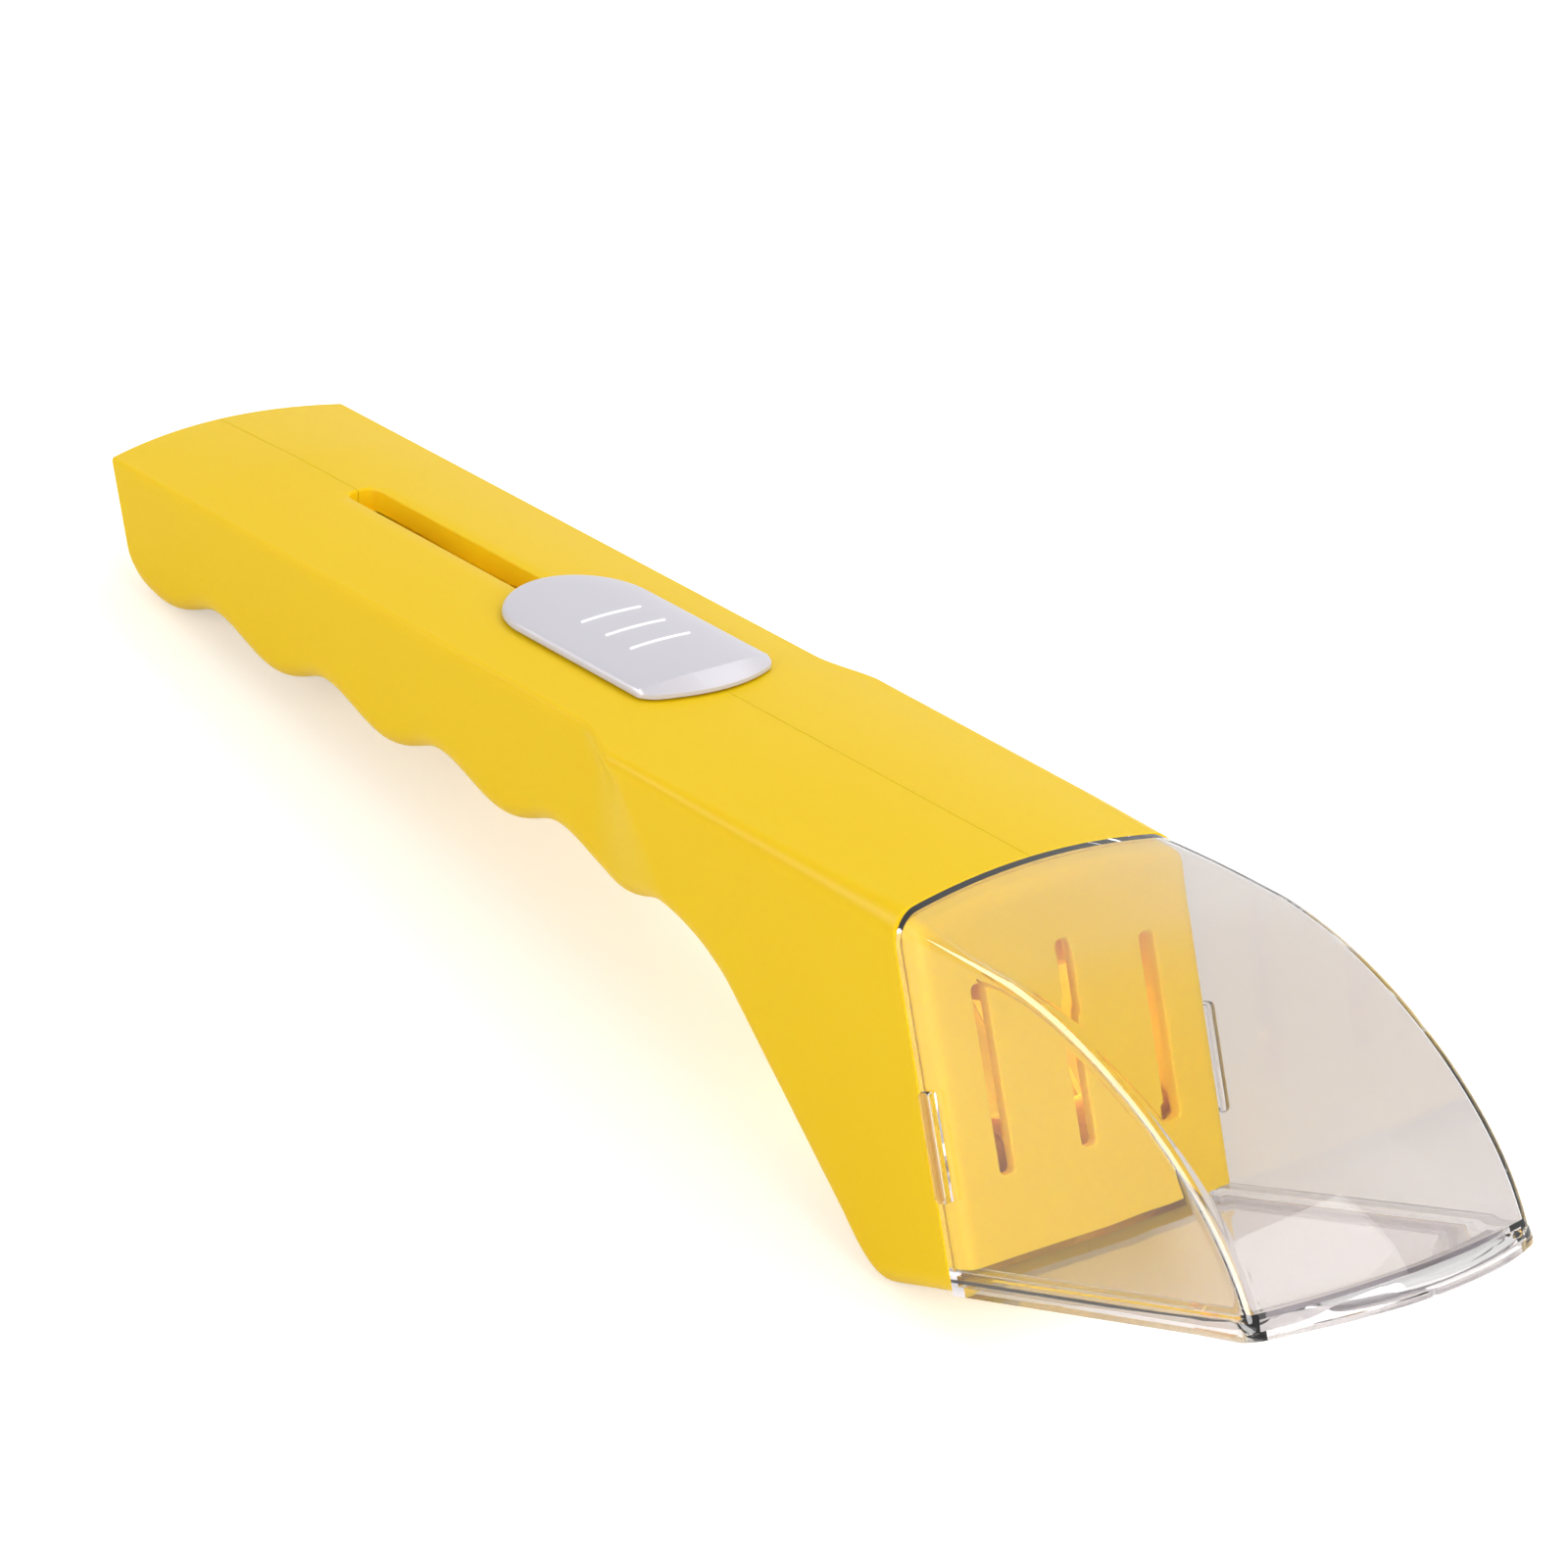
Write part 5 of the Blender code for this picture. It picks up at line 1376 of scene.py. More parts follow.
@dataclass
class HandleBody:
    """The two yellow shells of the handle and head, with their screws."""

    slide: Slide
    wave_steps: int = 26
    cavity_wave_steps: int = 8
    slot_edge: float = 0.0004
    slot_corner: float = 0.8
    boss_drops: tuple[float, ...] = (0.0117, 0.0163, 0.0163)
    boss_rear_inset: float = 0.0088
    boss_rim_inset: float = 0.012
    boss_along: Pair = (0.719, 0.4553)
    boss_heights: Pair = (0.745, 0.248)
    boss_radius: float = 0.0034
    tube_radius: float = 0.0042
    seat_y: float = 0.008
    pilot_depth: float = 0.0105
    screw_radius: float = 0.00125
    head_radius: float = 0.0025
    guide_thick: float = 0.0012
    guide_clear: float = 0.00035
    guide_reach: float = 0.0027
    guide_elbow: float = 0.84
    tail_guide_reach: float = 0.003

    def bosses(self) -> list[Pair]:
        """Middle (x, z) of each screw boss, from the handle's end to the rim.

        Returns:
            The places.
        """
        xs = [self.boss_rear_inset - FORM.length] + [-share * FORM.length for share in self.boss_along]
        places = [(x, FORM.top(x) - drop) for x, drop in zip(xs, self.boss_drops)]
        return places + [(-self.boss_rim_inset, share * FORM.rim_height) for share in self.boss_heights]

    def half_solid(self, side: int, stations: Sequence[float], *section: float) -> Solid:
        """Solid of one half, through the cross-sections at stations.

        Args:
            side: 1 for the left half and -1 for the right one.
            stations: The x of each cross-section.
            section: What BodyForm.section takes after x.

        Returns:
            The solid.
        """
        loops = []
        for x in stations:
            points = FORM.section(x, *section)
            loops.append([(FORM.arched(x, y), side * y, z) for y, z in points])
        return Solid().loft(loops)

    def guide(self, side: int, ends: Pair, steps: int, faces: Pair, reach: float) -> list[list[Triple]]:
        """Loops of a rib beside the door's way, from its free edge to the side wall.

        Args:
            side: 1 for the left half and -1 for the right one.
            ends: Lengths along the way where it starts and ends.
            steps: How many parts it has.
            faces: Distances of its two faces from the way.
            reach: How far it stands out from the wall, or 0 for the tail's ribs.

        Returns:
            The loops.
        """
        loops = []
        for s in between(*ends, steps):
            loop: list[Triple] = []
            for face, order in zip(faces, (1, -1)):
                x, z = WAY.at(s, face)
                wall = FORM.half_width(x, z) - FORM.wall
                free = wall - reach if reach else WAY.tail_half - self.tail_guide_reach
                loop += [(x, side * y, z) for y in (free, wall + FIT.embed)[::order]]
            loops.append(loop)
        return loops

    def features(self, side: int) -> Solid:
        """Bosses, ledges, slot rails and door guides inside one half.

        Args:
            side: 1 for the left half and -1 for the right one.

        Returns:
            The features as one solid.
        """
        solid, slide = Solid(), self.slide
        near = WAY.thick / 2 + self.guide_clear
        far = near + self.guide_thick
        elbow = WAY.first_arc + WAY.straight * self.guide_elbow
        tail = (elbow, WAY.end - self.guide_thick)
        begin = WAY.start - (WAY.bar_front - WAY.bar_depth - WAY.travel - 2 * FIT.gap)
        solid.loft(self.guide(side, (begin, elbow - self.guide_thick), 44, (near, far), self.guide_reach))
        for faces in ((near, far), (-far, -near)):
            solid.loft(self.guide(side, tail, 20, faces, 0.0))
        shoe_low = -slide.carriage_drop - slide.carriage_thick - FIT.slide
        rear = slide.carriage_front + slide.carriage_length + WAY.travel
        along = (slide.carriage_front - slide.ledge_spare, rear + slide.ledge_spare)
        ledge = (side * (slide.carriage_half - slide.ledge_overlap),
                 side * (FORM.handle_half - FORM.wall + FIT.embed))
        solid.block(FORM.on_handle, (along, ledge, (shoe_low - slide.ledge_thick, shoe_low)))
        along = (slide.slot_ends[0] - slide.slot_rail, slide.slot_ends[1] + slide.slot_rail)
        rail = (side * FIT.gap / 2, side * (slide.slot_half + slide.slot_rail))
        down = (FIT.slide - slide.carriage_drop, FIT.embed - FORM.wall)
        solid.block(FORM.on_handle, (along, rail, down))
        for x, z in self.bosses():
            wall = FORM.half_width(x, z) - FORM.wall + FIT.embed
            radius = self.tube_radius if side > 0 else self.boss_radius
            solid.prism(circle(x, z, radius), in_side_view, side * FIT.gap, side * wall)
        return solid

    def slot(self) -> Solid:
        """Cutter of the slot in the top, whose mouth is rounded.

        Returns:
            The cutter.
        """
        half, edge = self.slide.slot_half, self.slot_edge
        rings = [(-FORM.wall - FIT.margin, 0.0)] + [(-depth, more) for depth, more in flare(edge)]
        spans = (self.slide.slot_ends, (-half, half))
        return Solid().rings(FORM.on_handle, spans, half * self.slot_corner, rings + [(FIT.margin, edge)])

    def channel(self) -> Solid:
        """Cutter of the door's channel in the foot.

        Returns:
            The cutter.
        """
        half = WAY.half + FIT.gap
        stations = [(s, half) for s in between(WAY.start - FIT.margin, WAY.first_arc, 24)]
        return WAY.strip(stations, -WAY.thick / 2 - self.guide_clear, WAY.thick / 2 + FIT.gap)

    def holes(self, side: int) -> Solid:
        """Cutter of the screw holes: counterbores on the left half, blind pilots on the right one.

        Args:
            side: 1 for the left half and -1 for the right one.

        Returns:
            The cutter.
        """
        solid, hole, bore = Solid(), self.screw_radius + FIT.gap, self.head_radius + FIT.gap
        for x, z in self.bosses():
            if side > 0:
                wall = FORM.half_width(x, z)
                profile = [(hole, -FIT.margin), (hole, self.seat_y), (bore, self.seat_y)]
                profile += [(bore + more, wall - depth) for depth, more in flare(self.slot_edge)]
                profile.append((bore + self.slot_edge, wall + FIT.margin))
            else:
                profile = [(hole, -self.pilot_depth), (hole, FIT.margin)]
            solid.turned(profile, lambda a, b, h, x=x, z=z: Vector((x + a, h, z + b)))
        return solid

    def build(self) -> None:
        """Make and dress the shells and screws."""
        yellow, steel = YELLOW_ABS.material(), ZINC_STEEL.material()
        outside = FORM.stations(0, FORM.wave_pitch / self.wave_steps, 12)
        inside = FORM.stations(FORM.wall, FORM.wave_pitch / self.cavity_wave_steps, 4)
        inside[-1] = FIT.margin
        for side, node in ((-1, "right_shell"), (1, "left_shell")):
            skin = self.half_solid(side, outside, 0, FORM.parting_gap / 2, 9, FORM.parting_edge)
            shell = skin.done(f"{node}_skin")
            cavity = self.half_solid(side, inside, FORM.wall, -FIT.margin, 5)
            carve(shell, cavity, less=self.features(side))
            for cutter in (self.slot(), self.channel(), self.holes(side)):
                carve(shell, cutter)
            settle(shade(shell, MOULDED_TURN, REST), Body.HANDLE, yellow, node)
        places = [Vector((x, self.seat_y + FIT.gap, z)) for x, z in self.bosses()]
        screws = Screws().build("body_screws", places, Euler((-math.pi / 2, 0, 0)), steel)
        settle(screws, Body.HANDLE, steel, *[f"body_screw_{n}" for n in range(1, 6)])


@dataclass
class CatchingCup:
    """The clear cup and the yellow plate behind it."""

    bosses: list[Pair]
    straight: float = 0.0221
    rear_pull: float = 0.0212
    front_pull: float = 0.0178
    edge: float = 0.0021
    edge_fade: float = 0.018
    edge_keep: float = 0.9
    lip_reach: float = 0.0025
    lip_bulge: float = 0.0052
    lip_side: float = 0.0005
    lip_corner: float = 0.0054
    lip_band: float = 0.00085
    lip_foot: Pair = (0.00018, 0.05)
    lip_step: float = 0.08
    lip_rises: Pair = (1.15, 1.3)
    lip_top: float = 0.0029
    pad_span: Pair = (-0.001, 0.0228)
    pad_height: float = 0.0015
    pad_reach: float = 0.0003
    tab_span: Pair = (0.0133, 0.0294)
    tab_length: float = 0.0027
    tab_height: float = 0.0008
    tab_soft: float = 0.25
    tab_lean: float = 0.3
    rim_edge: float = 0.0003
    plate_rear: float = -0.005
    plate_wall: float = 0.0018
    plate_edge: float = 0.0018
    plate_sill: float = 0.0041
    vent_half: float = 0.0013
    vent_pitch: float = 0.0146
    vent_low: float = 0.0152
    vent_tops: Pair = (0.044, 0.0422)
    vent_corner: float = 0.0009
    vent_edge: float = 0.0003
    ear_y: float = -0.004
    ear_thick: float = 0.002
    ear_rim: float = 0.0018
    boss_radius: float = 0.0034
    across_shares: tuple[float, ...] = (0.93, 0.82, 0.69, 0.55, 0.41, 0.27, 0.13)

    def profile(self, x_rear: float, low: float, inset: float) -> list[tuple[float, ...]]:
        """Points (x, z, nx, nz, bulge) along the hood's edge, with its normal and bulge there.

        Args:
            x_rear: Where the hood starts.
            low: Height where it ends.
            inset: Wall that is left outside.

        Returns:
            The points.
        """
        crown = FORM.crown(FORM.head_half)
        bend_z = FORM.top(self.straight) - crown
        after = (self.straight + self.rear_pull * math.cos(FORM.rise),
                 bend_z - self.rear_pull * math.sin(FORM.rise))
        pulls = ((self.straight, bend_z), after, (WAY.cup_length, self.front_pull), (WAY.cup_length, 0))
        points = [(x, FORM.top(x) - crown, FORM.rise) for x in between(x_rear, self.straight, 8)[:-1]]
        for t in between(0, 1, 60):
            weights = ((1 - t) ** 3, 3 * t * (1 - t) ** 2, 3 * t * t * (1 - t), t**3)
            slopes = ((1 - t) ** 2, 2 * t * (1 - t), t * t)
            x, z = (sum(w * pull[axis] for w, pull in zip(weights, pulls)) for axis in (0, 1))
            steps = [(b[0] - a[0], b[1] - a[1]) for a, b in zip(pulls, pulls[1:])]
            dx, dz = (sum(w * step[axis] for w, step in zip(slopes, steps)) for axis in (0, 1))
            points.append((x, z, math.atan2(-dz, dx)))
        made = []
        for x, z, fall in points:
            if low < z < low + FIT.embed or 0 < z < low:
                continue
            share = (fall - FORM.rise) / (math.pi / 2 - FORM.rise)
            nx, nz = math.sin(fall), math.cos(fall)
            made.append((x - nx * inset, z - nz * inset, nx, nz, crown + (WAY.front_bulge - crown) * share))
        return made

    def hood(self, x_rear: float, low: float, inset: float) -> Solid:
        """Solid under the hood, between the side walls, moved inwards by a wall.

        Args:
            x_rear: Where the hood starts.
            low: Height where it ends.
            inset: Wall that is left outside.

        Returns:
            The solid.
        """
        half = FORM.head_half - inset
        profile = self.profile(x_rear, low, inset)
        stations = [(1.0, t) for t in reversed(turns(10))] + [(share, 0.0) for share in self.across_shares]
        sides = [(-1, *station) for station in stations] + [(1, 0.0, 0.0)]
        sides += [(1, *station) for station in reversed(stations)]
        loops = []
        for side, share, turn in sides:
            loop: list[Triple] = []
            for n, (x, z, nx, nz, bulge) in enumerate(profile):
                radius = max(self.edge_at(x) - inset * self.edge_keep, FORM.least_edge)
                y = side * ((half - radius) * share + radius * math.sin(turn))
                out = bulge * (1 - (y / FORM.head_half) ** 2) - radius * (1 - math.cos(turn))
                if n == 0:
                    loop += [(x_rear, y, low), (x_rear, y, z + out / nz - nx * (x_rear - x))]
                elif n == len(profile) - 1:
                    loop.append((x + out, y, low))
                else:
                    loop.append((x + nx * out, y, z + nz * out))
            loops.append(loop)
        return Solid().loft(loops)

    def edge_at(self, x: float) -> float:
        """Radius of the hood's long edges, which is the rim's at the rear and less further on."""
        near = clamped(1 - x / self.edge_fade)
        return self.edge + (FORM.top_edge(0) - self.edge) * near * near

    def lip_loop(self, z: float, share: float) -> list[Triple]:
        """Loop of the front lip at a height, with round corners.

        Args:
            z: The height.
            share: How far it has drawn in, from 0 where it stands out most to 1 inside the hood's wall.

        Returns:
            The loop.
        """
        outer = (self.lip_reach, FORM.head_half + self.lip_side, self.lip_bulge, self.lip_corner)
        inner = (-FIT.embed, FORM.head_half - FIT.embed, WAY.front_bulge, self.edge)
        reach, half, bulge, radius = (a + (b - a) * share for a, b in zip(outer, inner))
        corner_y, front = half - radius, WAY.cup_length + reach
        lean = math.atan(2 * bulge / corner_y)
        corner = []
        for turn in turns(14, lean)[1:]:
            across = (math.sin(turn) - math.sin(lean)) / (1 - math.sin(lean))
            x = front - radius * (math.cos(lean) - math.cos(turn))
            corner.append((x, corner_y + radius * across))
        rear, wall = WAY.cup_length - 3 * self.lip_corner, FORM.head_half - FIT.embed / 2
        outline = front_curve(front, bulge, corner_y) + corner + [(rear, wall), (rear, -wall)]
        return [(x, y, z) for x, y in outline + [(x, -y) for x, y in reversed(corner)]]

    def lip(self) -> Solid:
        """The lip that runs round the cup's front: a low band, and a round roof above it.

        Returns:
            The lip.
        """
        band, step, (edge, drawn) = self.lip_band, self.lip_step, self.lip_foot
        shoulder, roof = (rise * band for rise in self.lip_rises)
        rings = [(-FIT.margin, drawn), (0, drawn), (edge, 0.0), (band, 0.0), (shoulder, step)]
        for t in turns(12):
            height = roof + (self.lip_top - roof) * math.sin(t)
            rings.append((height, step + (1 - step) * (1 - math.cos(t))))
        return Solid().loft([self.lip_loop(z, share) for z, share in rings])

    def lip_pad(self) -> Solid:
        """The pad on the lip's front that gives a nail some hold.

        Returns:
            The pad.
        """
        corner_y = FORM.head_half + self.lip_side - self.lip_corner
        front, back, steps = [], [], 32
        for n, y in enumerate(between(*self.pad_span, steps)):
            x = WAY.cup_length + self.lip_reach + self.lip_bulge * (1 - (y / corner_y) ** 2)
            near = min(n, steps - n) / 3
            out = self.pad_reach * (1 if near >= 1 else math.sqrt(1 - (1 - near) ** 2) * 2 - 1)
            front.append((x + out, y))
            back.append((x - self.lip_reach, y))
        return Solid().prism(front + back[::-1], in_tool, -FIT.margin / 2, self.pad_height)

    def tabs(self, inset: float, length: float, faces: Pair, corner: float) -> Solid:
        """Snap tabs or catches on both sides.

        Args:
            inset: How much shorter they are at both ends than the tabs.
            length: How far they reach from the rim.
            faces: Distance of their inner and outer face from the middle.
            corner: Radius of their corners.

        Returns:
            Both as one solid.
        """
        solid, (inner, outer) = Solid(), faces
        soft = (outer - inner) * self.tab_soft
        bend = soft * self.tab_lean
        low, high = self.tab_span
        spans = ((2 * FIT.gap, 2 * FIT.gap + length), (low + inset, high - inset))
        rings = ((inner, 0.0), (outer - soft, 0.0), (outer - bend, -bend), (outer, -soft))
        for side in (-1, 1):
            both = [(side * y, more) for y, more in rings]
            solid.rings(in_side_view, spans, corner, both, soft)
        return solid

    def on_rim(self, edge: bmesh.types.BMEdge) -> bool:
        """Tell whether an edge is part of the rim's outer edge.

        Args:
            edge: The edge.

        Returns:
            Whether it is.
        """
        a, b = (vert.co for vert in edge.verts)
        at_rim = abs(a.x - FIT.gap) < MERGE and abs(b.x - FIT.gap) < MERGE
        return at_rim and (min(a.z, b.z) > -FIT.embed + MERGE or a.z != b.z)

    def cup(self) -> bpy.types.Object:
        """Make the clear cup with its door track, lip and snap tabs.

        Returns:
            The cup, in the tool's own frame.
        """
        hood = self.hood(FIT.gap, -FIT.embed, 0.0).soften(CLEAR_TURN, self.rim_edge, 4, self.on_rim)
        cup = hood.done("cup_clear")
        faces = (FORM.head_half - FIT.embed, FORM.head_half + self.tab_height)
        tabs = self.tabs(0.0, self.tab_length, faces, self.tab_length / 3)
        for solid in (self.lip(), self.lip_pad(), tabs):
            carve(cup, solid, Carve.JOIN)
        long, wide = WAY.cup_length * 2, FORM.head_half * 2
        carve(cup, Solid().block(in_tool, ((-FIT.margin, long), (-wide, wide), (-2 * FIT.margin, 0))))
        carve(cup, self.hood(-FIT.margin, WAY.rail_top, WAY.cup_wall))
        half = FORM.head_half - WAY.cup_wall - WAY.rail_depth
        mouth = (WAY.bar_front, WAY.bar_bulge, half, -FIT.margin, WAY.rail_top + FIT.embed)
        groove = (WAY.front, WAY.front_bulge, WAY.half + FIT.gap, WAY.groove_low, WAY.groove_top)
        for front, bulge, wide, low, high in (mouth, groove):
            outline = front_curve(front + FIT.gap, bulge, wide) + [(-FIT.margin, wide), (-FIT.margin, -wide)]
            carve(cup, Solid().prism(outline, in_tool, low, high))
        inner = FORM.head_half - WAY.cup_wall
        span = (self.tab_span[0] + FIT.gap, self.tab_span[1] - FIT.gap)
        pockets = Solid()
        for side in (-1, 1):
            across = sorted((side * (inner - FIT.embed), side * (inner + self.tab_height)))
            pockets.block(in_side_view, ((-FIT.margin, self.tab_length + FIT.gap), span, across))
        carve(cup, pockets)
        return cup

    def rim_loop(self, x: float, inset: float, low: float) -> list[Triple]:
        """Closed loop of the body's outline near the rim, moved inwards and cut off at low.

        Args:
            x: Where the loop lies.
            inset: How far it is moved inwards.
            low: Height where it is cut off.

        Returns:
            The loop.
        """
        kept = [(y, z) for y, z in FORM.section(x, inset, 0, 11) if z > WAY.rail_top + self.plate_sill]
        right = kept + [(kept[-1][0], low), (0.0, low)]
        return [(x, y, z) for y, z in right + [(-y, z) for y, z in reversed(right[1:-1])]]

    def plate(self) -> bpy.types.Object:
        """Make the wall behind the cup, with air slots, snap catches and screw ears.

        Returns:
            The plate, in the tool's own frame.
        """
        low, front = WAY.rail_top + FIT.gap, WAY.plate_front
        face = front - self.plate_wall
        rear_inset, front_inset = FORM.wall + FIT.gap, WAY.cup_wall + FIT.gap
        steps = [(self.plate_rear, rear_inset), (0.0, rear_inset), (FIT.gap, front_inset)]
        steps += [(front - depth, front_inset + more) for depth, more in flare(self.plate_edge, 10)]
        plate = Solid().loft([self.rim_loop(x, inset, low) for x, inset in steps])
        plate = plate.done("front_plate_moulded")
        inside = (rear_inset + self.plate_wall, low + self.plate_wall)
        carve(plate, Solid().loft([self.rim_loop(x, *inside) for x in (self.plate_rear - FIT.margin, face)]))
        ears, cuts = Solid(), Solid()
        spans = (self.ear_y - self.ear_thick / 2, self.ear_y + self.ear_thick / 2)
        hole = self.boss_radius + FIT.gap
        reach = hole + self.ear_rim
        for x, z in self.bosses[-2:]:
            outline = [(face + FIT.embed, z - reach), (face + FIT.embed, z + reach)]
            around = between(math.pi / 2, 3 * math.pi / 2, 24)
            outline += [(x + reach * math.cos(t), z + reach * math.sin(t)) for t in around]
            ears.prism(outline, in_side_view, *spans)
            cuts.prism(circle(x, z, hole), in_side_view, spans[0] - FIT.margin, spans[1] + FIT.margin)
        carve(plate, ears, Carve.JOIN)
        inner = FORM.head_half - front_inset
        faces = (inner - FIT.embed, inner + self.tab_height - FIT.gap)
        catches = self.tabs(2 * FIT.gap, self.tab_length - 3 * FIT.gap, faces, self.tab_length / 6)
        carve(plate, catches, Carve.JOIN)
        rings = [(face - FIT.embed, 0.0)] + [(front - depth, more) for depth, more in flare(self.vent_edge)]
        rings.append((front + FIT.margin, self.vent_edge))
        for place in (-1, 0, 1):
            middle, top = place * self.vent_pitch, self.vent_tops[abs(place)]
            vent = ((middle - self.vent_half, middle + self.vent_half), (self.vent_low, top))
            cuts.rings(in_front_view, vent, self.vent_corner, rings)
        carve(plate, cuts)
        return plate

    def build(self) -> None:
        """Make and dress the cup and the plate."""
        settle(shade(self.cup(), CLEAR_TURN, REST), Body.HANDLE, CLEAR_ACRYLIC.material(), "cup")
        settle(shade(self.plate(), MOULDED_TURN, REST), Body.HANDLE, YELLOW_ABS.material(), "front_plate")


@dataclass
class SlidingDoor:
    """The flexible door sheet and its stiff front edge."""

    slide: Slide
    behind_rim: float = 0.0073
    taper: float = 0.01
    seam: float = 0.00005
    hole_radius: float = 0.0011
    bar_height: float = 0.0009
    bar_edge: float = 0.00022

    def front_sheet(self) -> bpy.types.Object:
        """The flat part of the sheet, from its bulging front edge to the first bend.

        Returns:
            The sheet's part.
        """
        first = WAY.start - WAY.front
        stations = []
        for t in turns(32)[1:]:
            share = math.sin(t)
            stations.append((first - WAY.front_bulge * (1 - share * share), WAY.half * share))
        stations += [(s, WAY.half) for s in between(first, -self.seam, 12)[1:]]
        return WAY.strip(stations, -WAY.thick / 2, WAY.thick / 2).done("door_sheet_front")

    def tail_sheet(self) -> bpy.types.Object:
        """The part of the sheet that bends up the belly and runs to the carriage.

        Returns:
            The sheet's part.
        """
        wide_end = WAY.start + self.behind_rim
        last = WAY.length_to(self.slide.middle + self.slide.carriage_length / 2)
        stations = []
        for s in between(self.seam, last, 120):
            share = clamped((s - wide_end) / self.taper)
            share = share * share * (3 - 2 * share)
            stations.append((s, WAY.half + (WAY.tail_half - WAY.half) * share))
        made = WAY.strip(stations, -WAY.thick / 2, WAY.thick / 2).done("door_sheet_tail")
        holes, low = Solid(), -WAY.tail_drop - FIT.margin
        for u in self.slide.screw_places:
            holes.prism(circle(u, 0, self.hole_radius, 24), FORM.on_handle, low, low + 2 * FIT.margin)
        carve(made, holes)
        return made

    def bar(self) -> bpy.types.Object:
        """The stiff bar on the sheet's front edge.

        Returns:
            The bar.
        """
        half = FORM.head_half - WAY.cup_wall - WAY.rail_depth - FIT.gap
        front = front_curve(WAY.bar_front, WAY.bar_bulge, half)
        outline = front + [(x - WAY.bar_depth, y) for x, y in reversed(front)]
        low = WAY.z + WAY.thick / 2 + FIT.gap
        solid = Solid().prism(outline, in_tool, low, low + self.bar_height)
        return solid.soften(SMALL_TURN, self.bar_edge, 3).done("door_edge_bar_moulded")

    def build(self) -> None:
        """Make and dress the sheet and the bar."""
        film = CLEAR_PET.material()
        front = shade(self.front_sheet(), CLEAR_TURN, REST)
        settle(front, Body.HANDLE, film, "door_sheet")
        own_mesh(front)
        tail = shade(self.tail_sheet(), CLEAR_TURN, REST)
        tail.data.materials.append(film)
        ends = (WAY.end - WAY.length_to(0), self.slide.carriage_front)
        start, end = (tuple(REST @ FORM.on_handle(u, 0, -WAY.tail_drop)) for u in ends)
        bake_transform(tail)
        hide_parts("door_sheet")
        LOG.info("%s bends between %s and %s", tail.name, Body.HANDLE.value, Body.THUMB.value)
        bar = shade(self.bar(), CLEAR_TURN, REST)
        settle(bar, Body.DOOR, SMOKE_POLYCARBONATE.material(), "door_edge_bar")


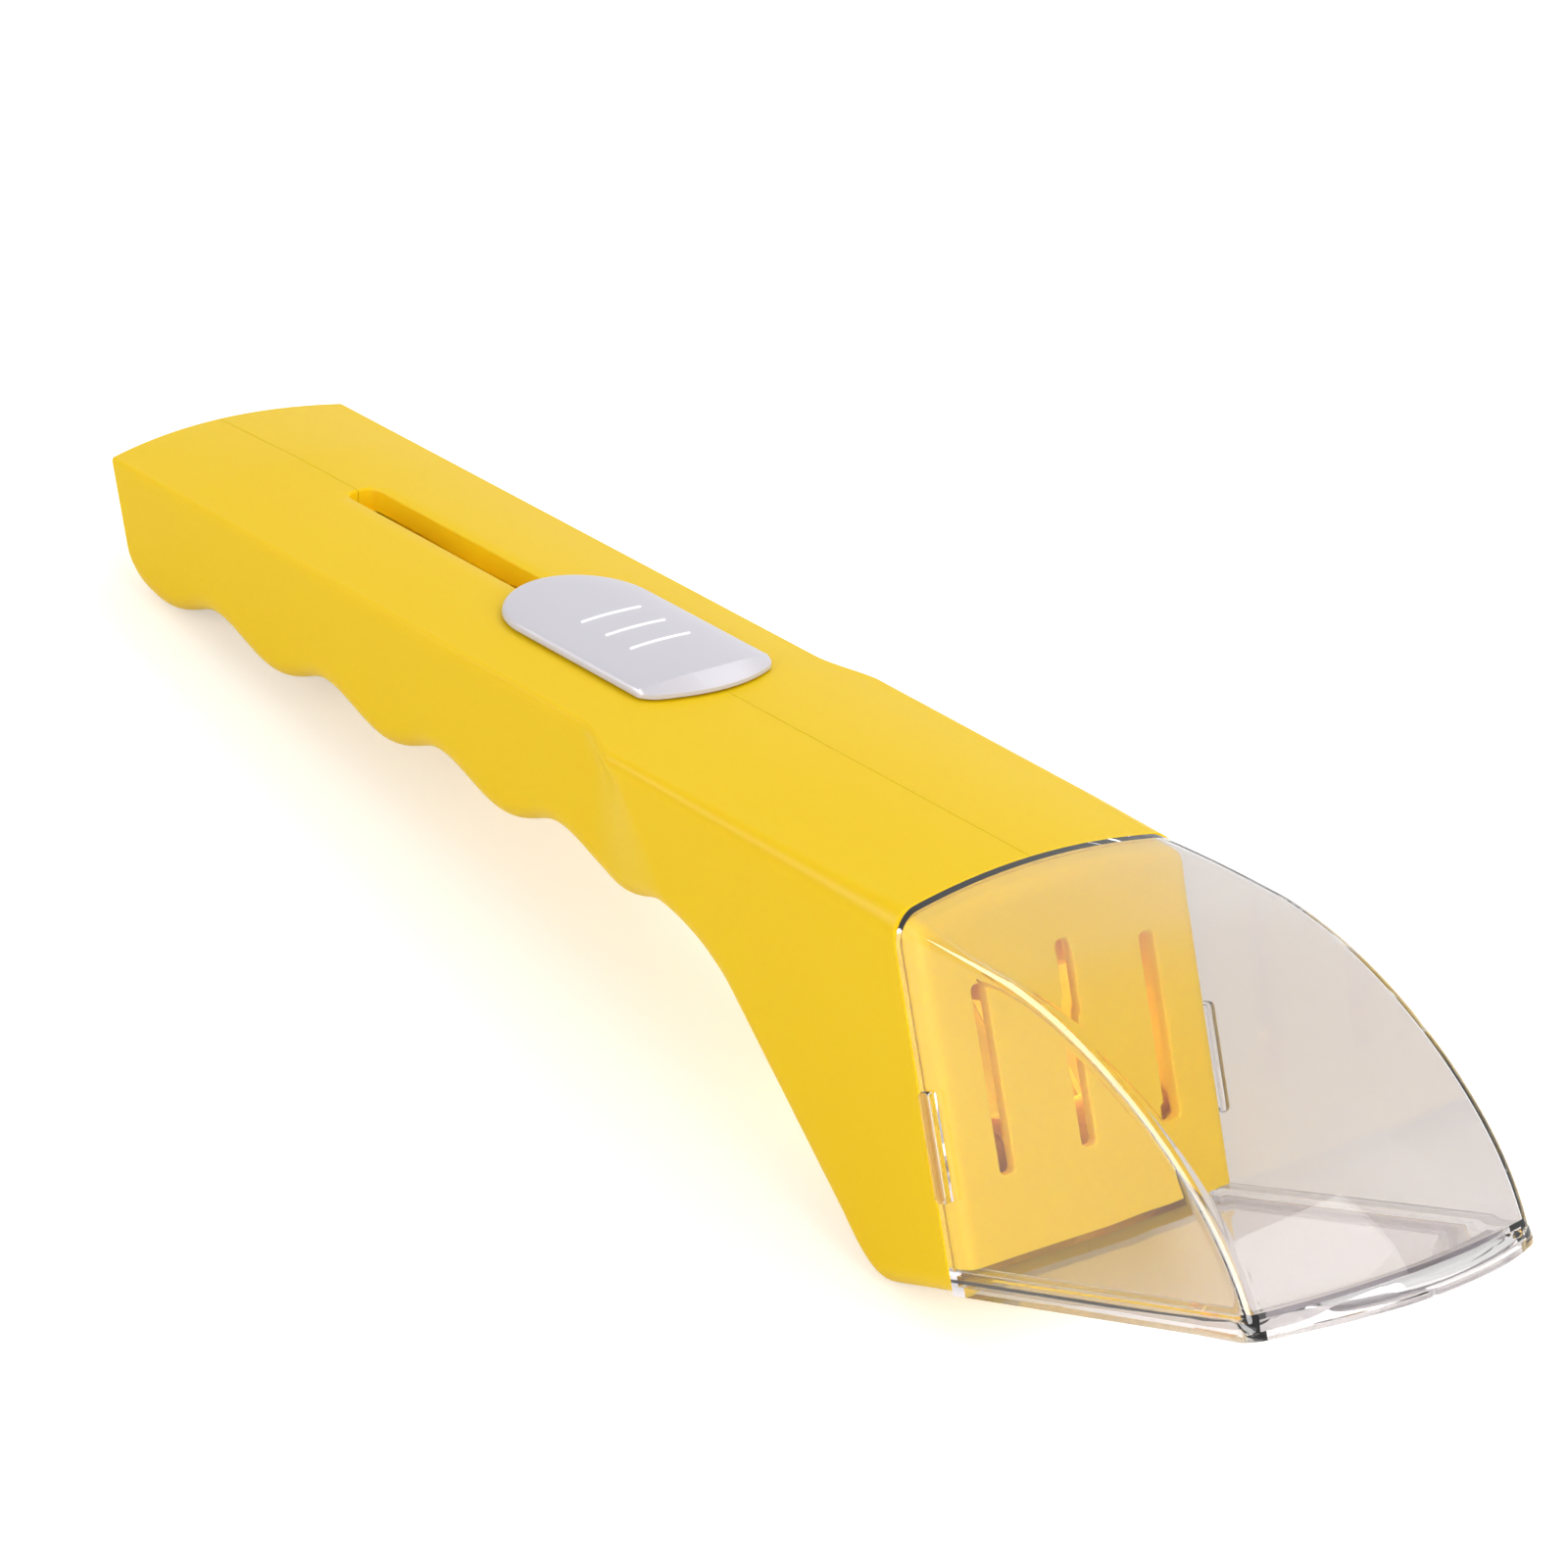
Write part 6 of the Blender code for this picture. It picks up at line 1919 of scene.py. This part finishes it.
@dataclass
class Studio:
    """White floor, white surroundings, soft lamps and the camera."""

    floor_size: float = 6.0
    floor_drop: float = 0.0002
    floor_glow: float = 0.26
    floor_lift: float = 0.14
    floor_colour: str = "#F4F4F4"
    sky_strength: float = 0.58
    camera_place: Triple = (0.63141, -0.564213, 0.567021)
    camera_turn: tuple[float, float, float, float] = (0.7664819, 0.4574163, 0.1605022, 0.4213253)
    focal_length: float = 157.5
    sensor_width: float = 36.0
    clip_distances: Pair = (0.05, 20.0)
    wall_glow_radius: float = 0.003
    wall_glows: tuple[tuple[float, float, float, float], ...] = (
        (-0.185, 0, 0.013, 0.0028), (-0.16, 0, 0.013, 0.0028), (-0.135, 0, 0.013, 0.0028),
        (-0.11, 0, 0.013, 0.0028), (-0.018, 0.006, 0.016, 0.008), (-0.018, 0.006, 0.04, 0.01),
        (-0.04, 0.003, 0.018, 0.01), (-0.04, 0.003, 0.034, 0.012),
    )
    # Whether a ray comes from the camera, a mirror image or clear plastic: 1 for such rays, else 0.
    seen: Rows = (
        ("ray", "ShaderNodeLightPath", {}),
        ("mirror", "ShaderNodeMath", {0: "ray.Is Camera Ray", 1: "ray.Is Glossy Ray"}, LARGER),
        ("seen", "ShaderNodeMath", {0: "mirror", 1: "ray.Is Transmission Ray"}, LARGER),
    )

    def build(self) -> None:
        """Make the floor, the world, the lamps and the camera."""
        self.floor()
        self.world()
        self.lamp("key_softbox", (0.25, -1.5, 0.75), (1.5, 1.0), 8.3)
        self.lamp("back_softbox", (-0.4, 0.85, 1.3), (0.9, 0.9), 7.2, mirrored=False)
        self.shine("edge_strip", (-0.13, -0.95, 0.5), (2.3, 0.5), 40.0, (2.26, -0.56, -0.51))
        gleam = self.shine("slide_gleam", (-0.15, 0.8, 1.1), (1.6, 0.9), 10.0, (1.0, 0.0, 0.0))
        pads = bpy.data.collections.new("slide_gleam_pieces")
        pads.objects.link(bpy.data.objects["thumb_slide_pad"])
        gleam.light_linking.receiver_collection = pads
        for n, (x, y, depth, power) in enumerate(self.wall_glows):
            self.wall_glow(f"wall_glow_{n + 1}", Vector((x, y, FORM.top(x) - depth)), power)
        self.lamp("front_softbox", (1.35, 0.3, 1.0), (1.5, 1.4), 12.5)
        self.camera()

    def floor(self) -> None:
        """Make the white floor, which keeps the object's shadow."""
        mesh = bpy.data.meshes.new("studio_floor")
        half = self.floor_size / 2
        corners = [(-half, -half), (half, -half), (half, half), (-half, half)]
        mesh.from_pydata([(x, y, -self.floor_drop) for x, y in corners], [], [(0, 1, 2, 3)])
        lift = {0: "ray.Is Camera Ray", 1: self.floor_lift, 2: "share"}
        mesh.materials.append(new_material("matt_white_paper", (
            *self.seen,
            ("paper", "ShaderNodeBsdfDiffuse", {"Color": linear(self.floor_colour)}),
            ("share", "ShaderNodeMath", {0: "seen", 1: self.floor_glow}, TIMES),
            ("lifted", "ShaderNodeMath", lift, {"operation": "MULTIPLY_ADD"}),
            ("glow", "ShaderNodeEmission", {"Strength": "lifted"}),
            ("both", "ShaderNodeAddShader", {0: "paper", 1: "glow"}),
        )))
        linked("studio_floor", mesh)

    def world(self) -> None:
        """Make the surroundings: white where they are seen, dimmer where they light the object."""
        world = bpy.data.worlds.new("white_studio")
        world.use_nodes = True
        world.node_tree.nodes.clear()
        add_rows(world.node_tree, (
            *self.seen,
            ("strength", "ShaderNodeMapRange", {0: "seen", 3: self.sky_strength, 4: 1.0}),
            ("sky", "ShaderNodeBackground", {"Color": linear("#FFFFFF"), "Strength": "strength"}),
            ("output", "ShaderNodeOutputWorld", {0: "sky"}),
        ))
        bpy.context.scene.world = world

    def lamp(
        self, name: str, place: Triple, size: Pair, power: float, mirrored: bool = True
    ) -> bpy.types.Object:
        """Make a soft lamp that faces the object.

        Args:
            name: The lamp's name.
            place: Where it stands, in metres.
            size: Width and height of its face.
            power: Its power in watts.
            mirrored: Whether it is seen in glossy and clear surfaces.

        Returns:
            The lamp.
        """
        light = bpy.data.lights.new(name, "AREA")
        light.shape, light.energy = "RECTANGLE", power
        light.size, light.size_y = size
        lamp = linked(name, light)
        lamp.location, lamp.rotation_mode = place, "QUATERNION"
        lamp.rotation_quaternion = (-Vector(place)).to_track_quat("-Z", "Y")
        lamp.visible_camera = False
        lamp.visible_glossy = lamp.visible_transmission = mirrored
        return lamp

    def shine(
        self, name: str, place: Triple, size: Pair, power: float, along: Triple
    ) -> bpy.types.Object:
        """Make a bright strip that is seen in glossy edges only, and adds no light to the object.

        Args:
            name: The strip's name.
            place: Where its middle is, in metres.
            size: Its length and width.
            power: Its power in watts.
            along: Direction of its length.

        Returns:
            The strip.
        """
        strip = self.lamp(name, place, size, power)
        back, length = Vector(place).normalized(), Vector(along)
        length = (length - back * length.dot(back)).normalized()
        turn = Matrix((length, back.cross(length), back)).transposed()
        strip.rotation_quaternion = turn.to_quaternion()
        strip.visible_diffuse = strip.visible_transmission = False
        return strip

    def wall_glow(self, name: str, place: Vector, power: float) -> None:
        """Make a small lamp in the hollow body, for the light that soaks through its thin walls.

        Args:
            name: The lamp's name.
            place: Where it is, in the tool's own frame.
            power: Its power in watts.
        """
        light = bpy.data.lights.new(name, "POINT")
        light.energy, light.shadow_soft_size = power, self.wall_glow_radius
        lamp = linked(name, light)
        lamp.location = REST @ place
        lamp.visible_camera = lamp.visible_glossy = lamp.visible_transmission = False

    def camera(self) -> None:
        """Make the camera."""
        lens = bpy.data.cameras.new("photo_camera")
        lens.lens, lens.sensor_width, lens.sensor_fit = self.focal_length, self.sensor_width, "HORIZONTAL"
        lens.clip_start, lens.clip_end = self.clip_distances
        camera = linked("photo_camera", lens)
        camera.location, camera.rotation_mode = self.camera_place, "QUATERNION"
        camera.rotation_quaternion = Quaternion(self.camera_turn)
        bpy.context.scene.camera = camera


def main() -> None:
    """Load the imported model, dress every sub-assembly and light the scene."""
    logging.basicConfig(level=logging.INFO, format="%(name)s: %(message)s")
    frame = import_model()
    bpy.context.scene.view_settings.view_transform = "Standard"
    # Light that is caught in the cup's lip needs more bounces than the default, or its corners go black.
    bpy.context.scene.cycles.glossy_bounces = 12
    slide = Slide()
    handle = HandleBody(slide)
    handle.build()
    CatchingCup(handle.bosses()).build()
    SlidingDoor(slide).build()
    slide.build(frame["nodes"])
    Studio().build()


if __name__ == "__main__":
    main()
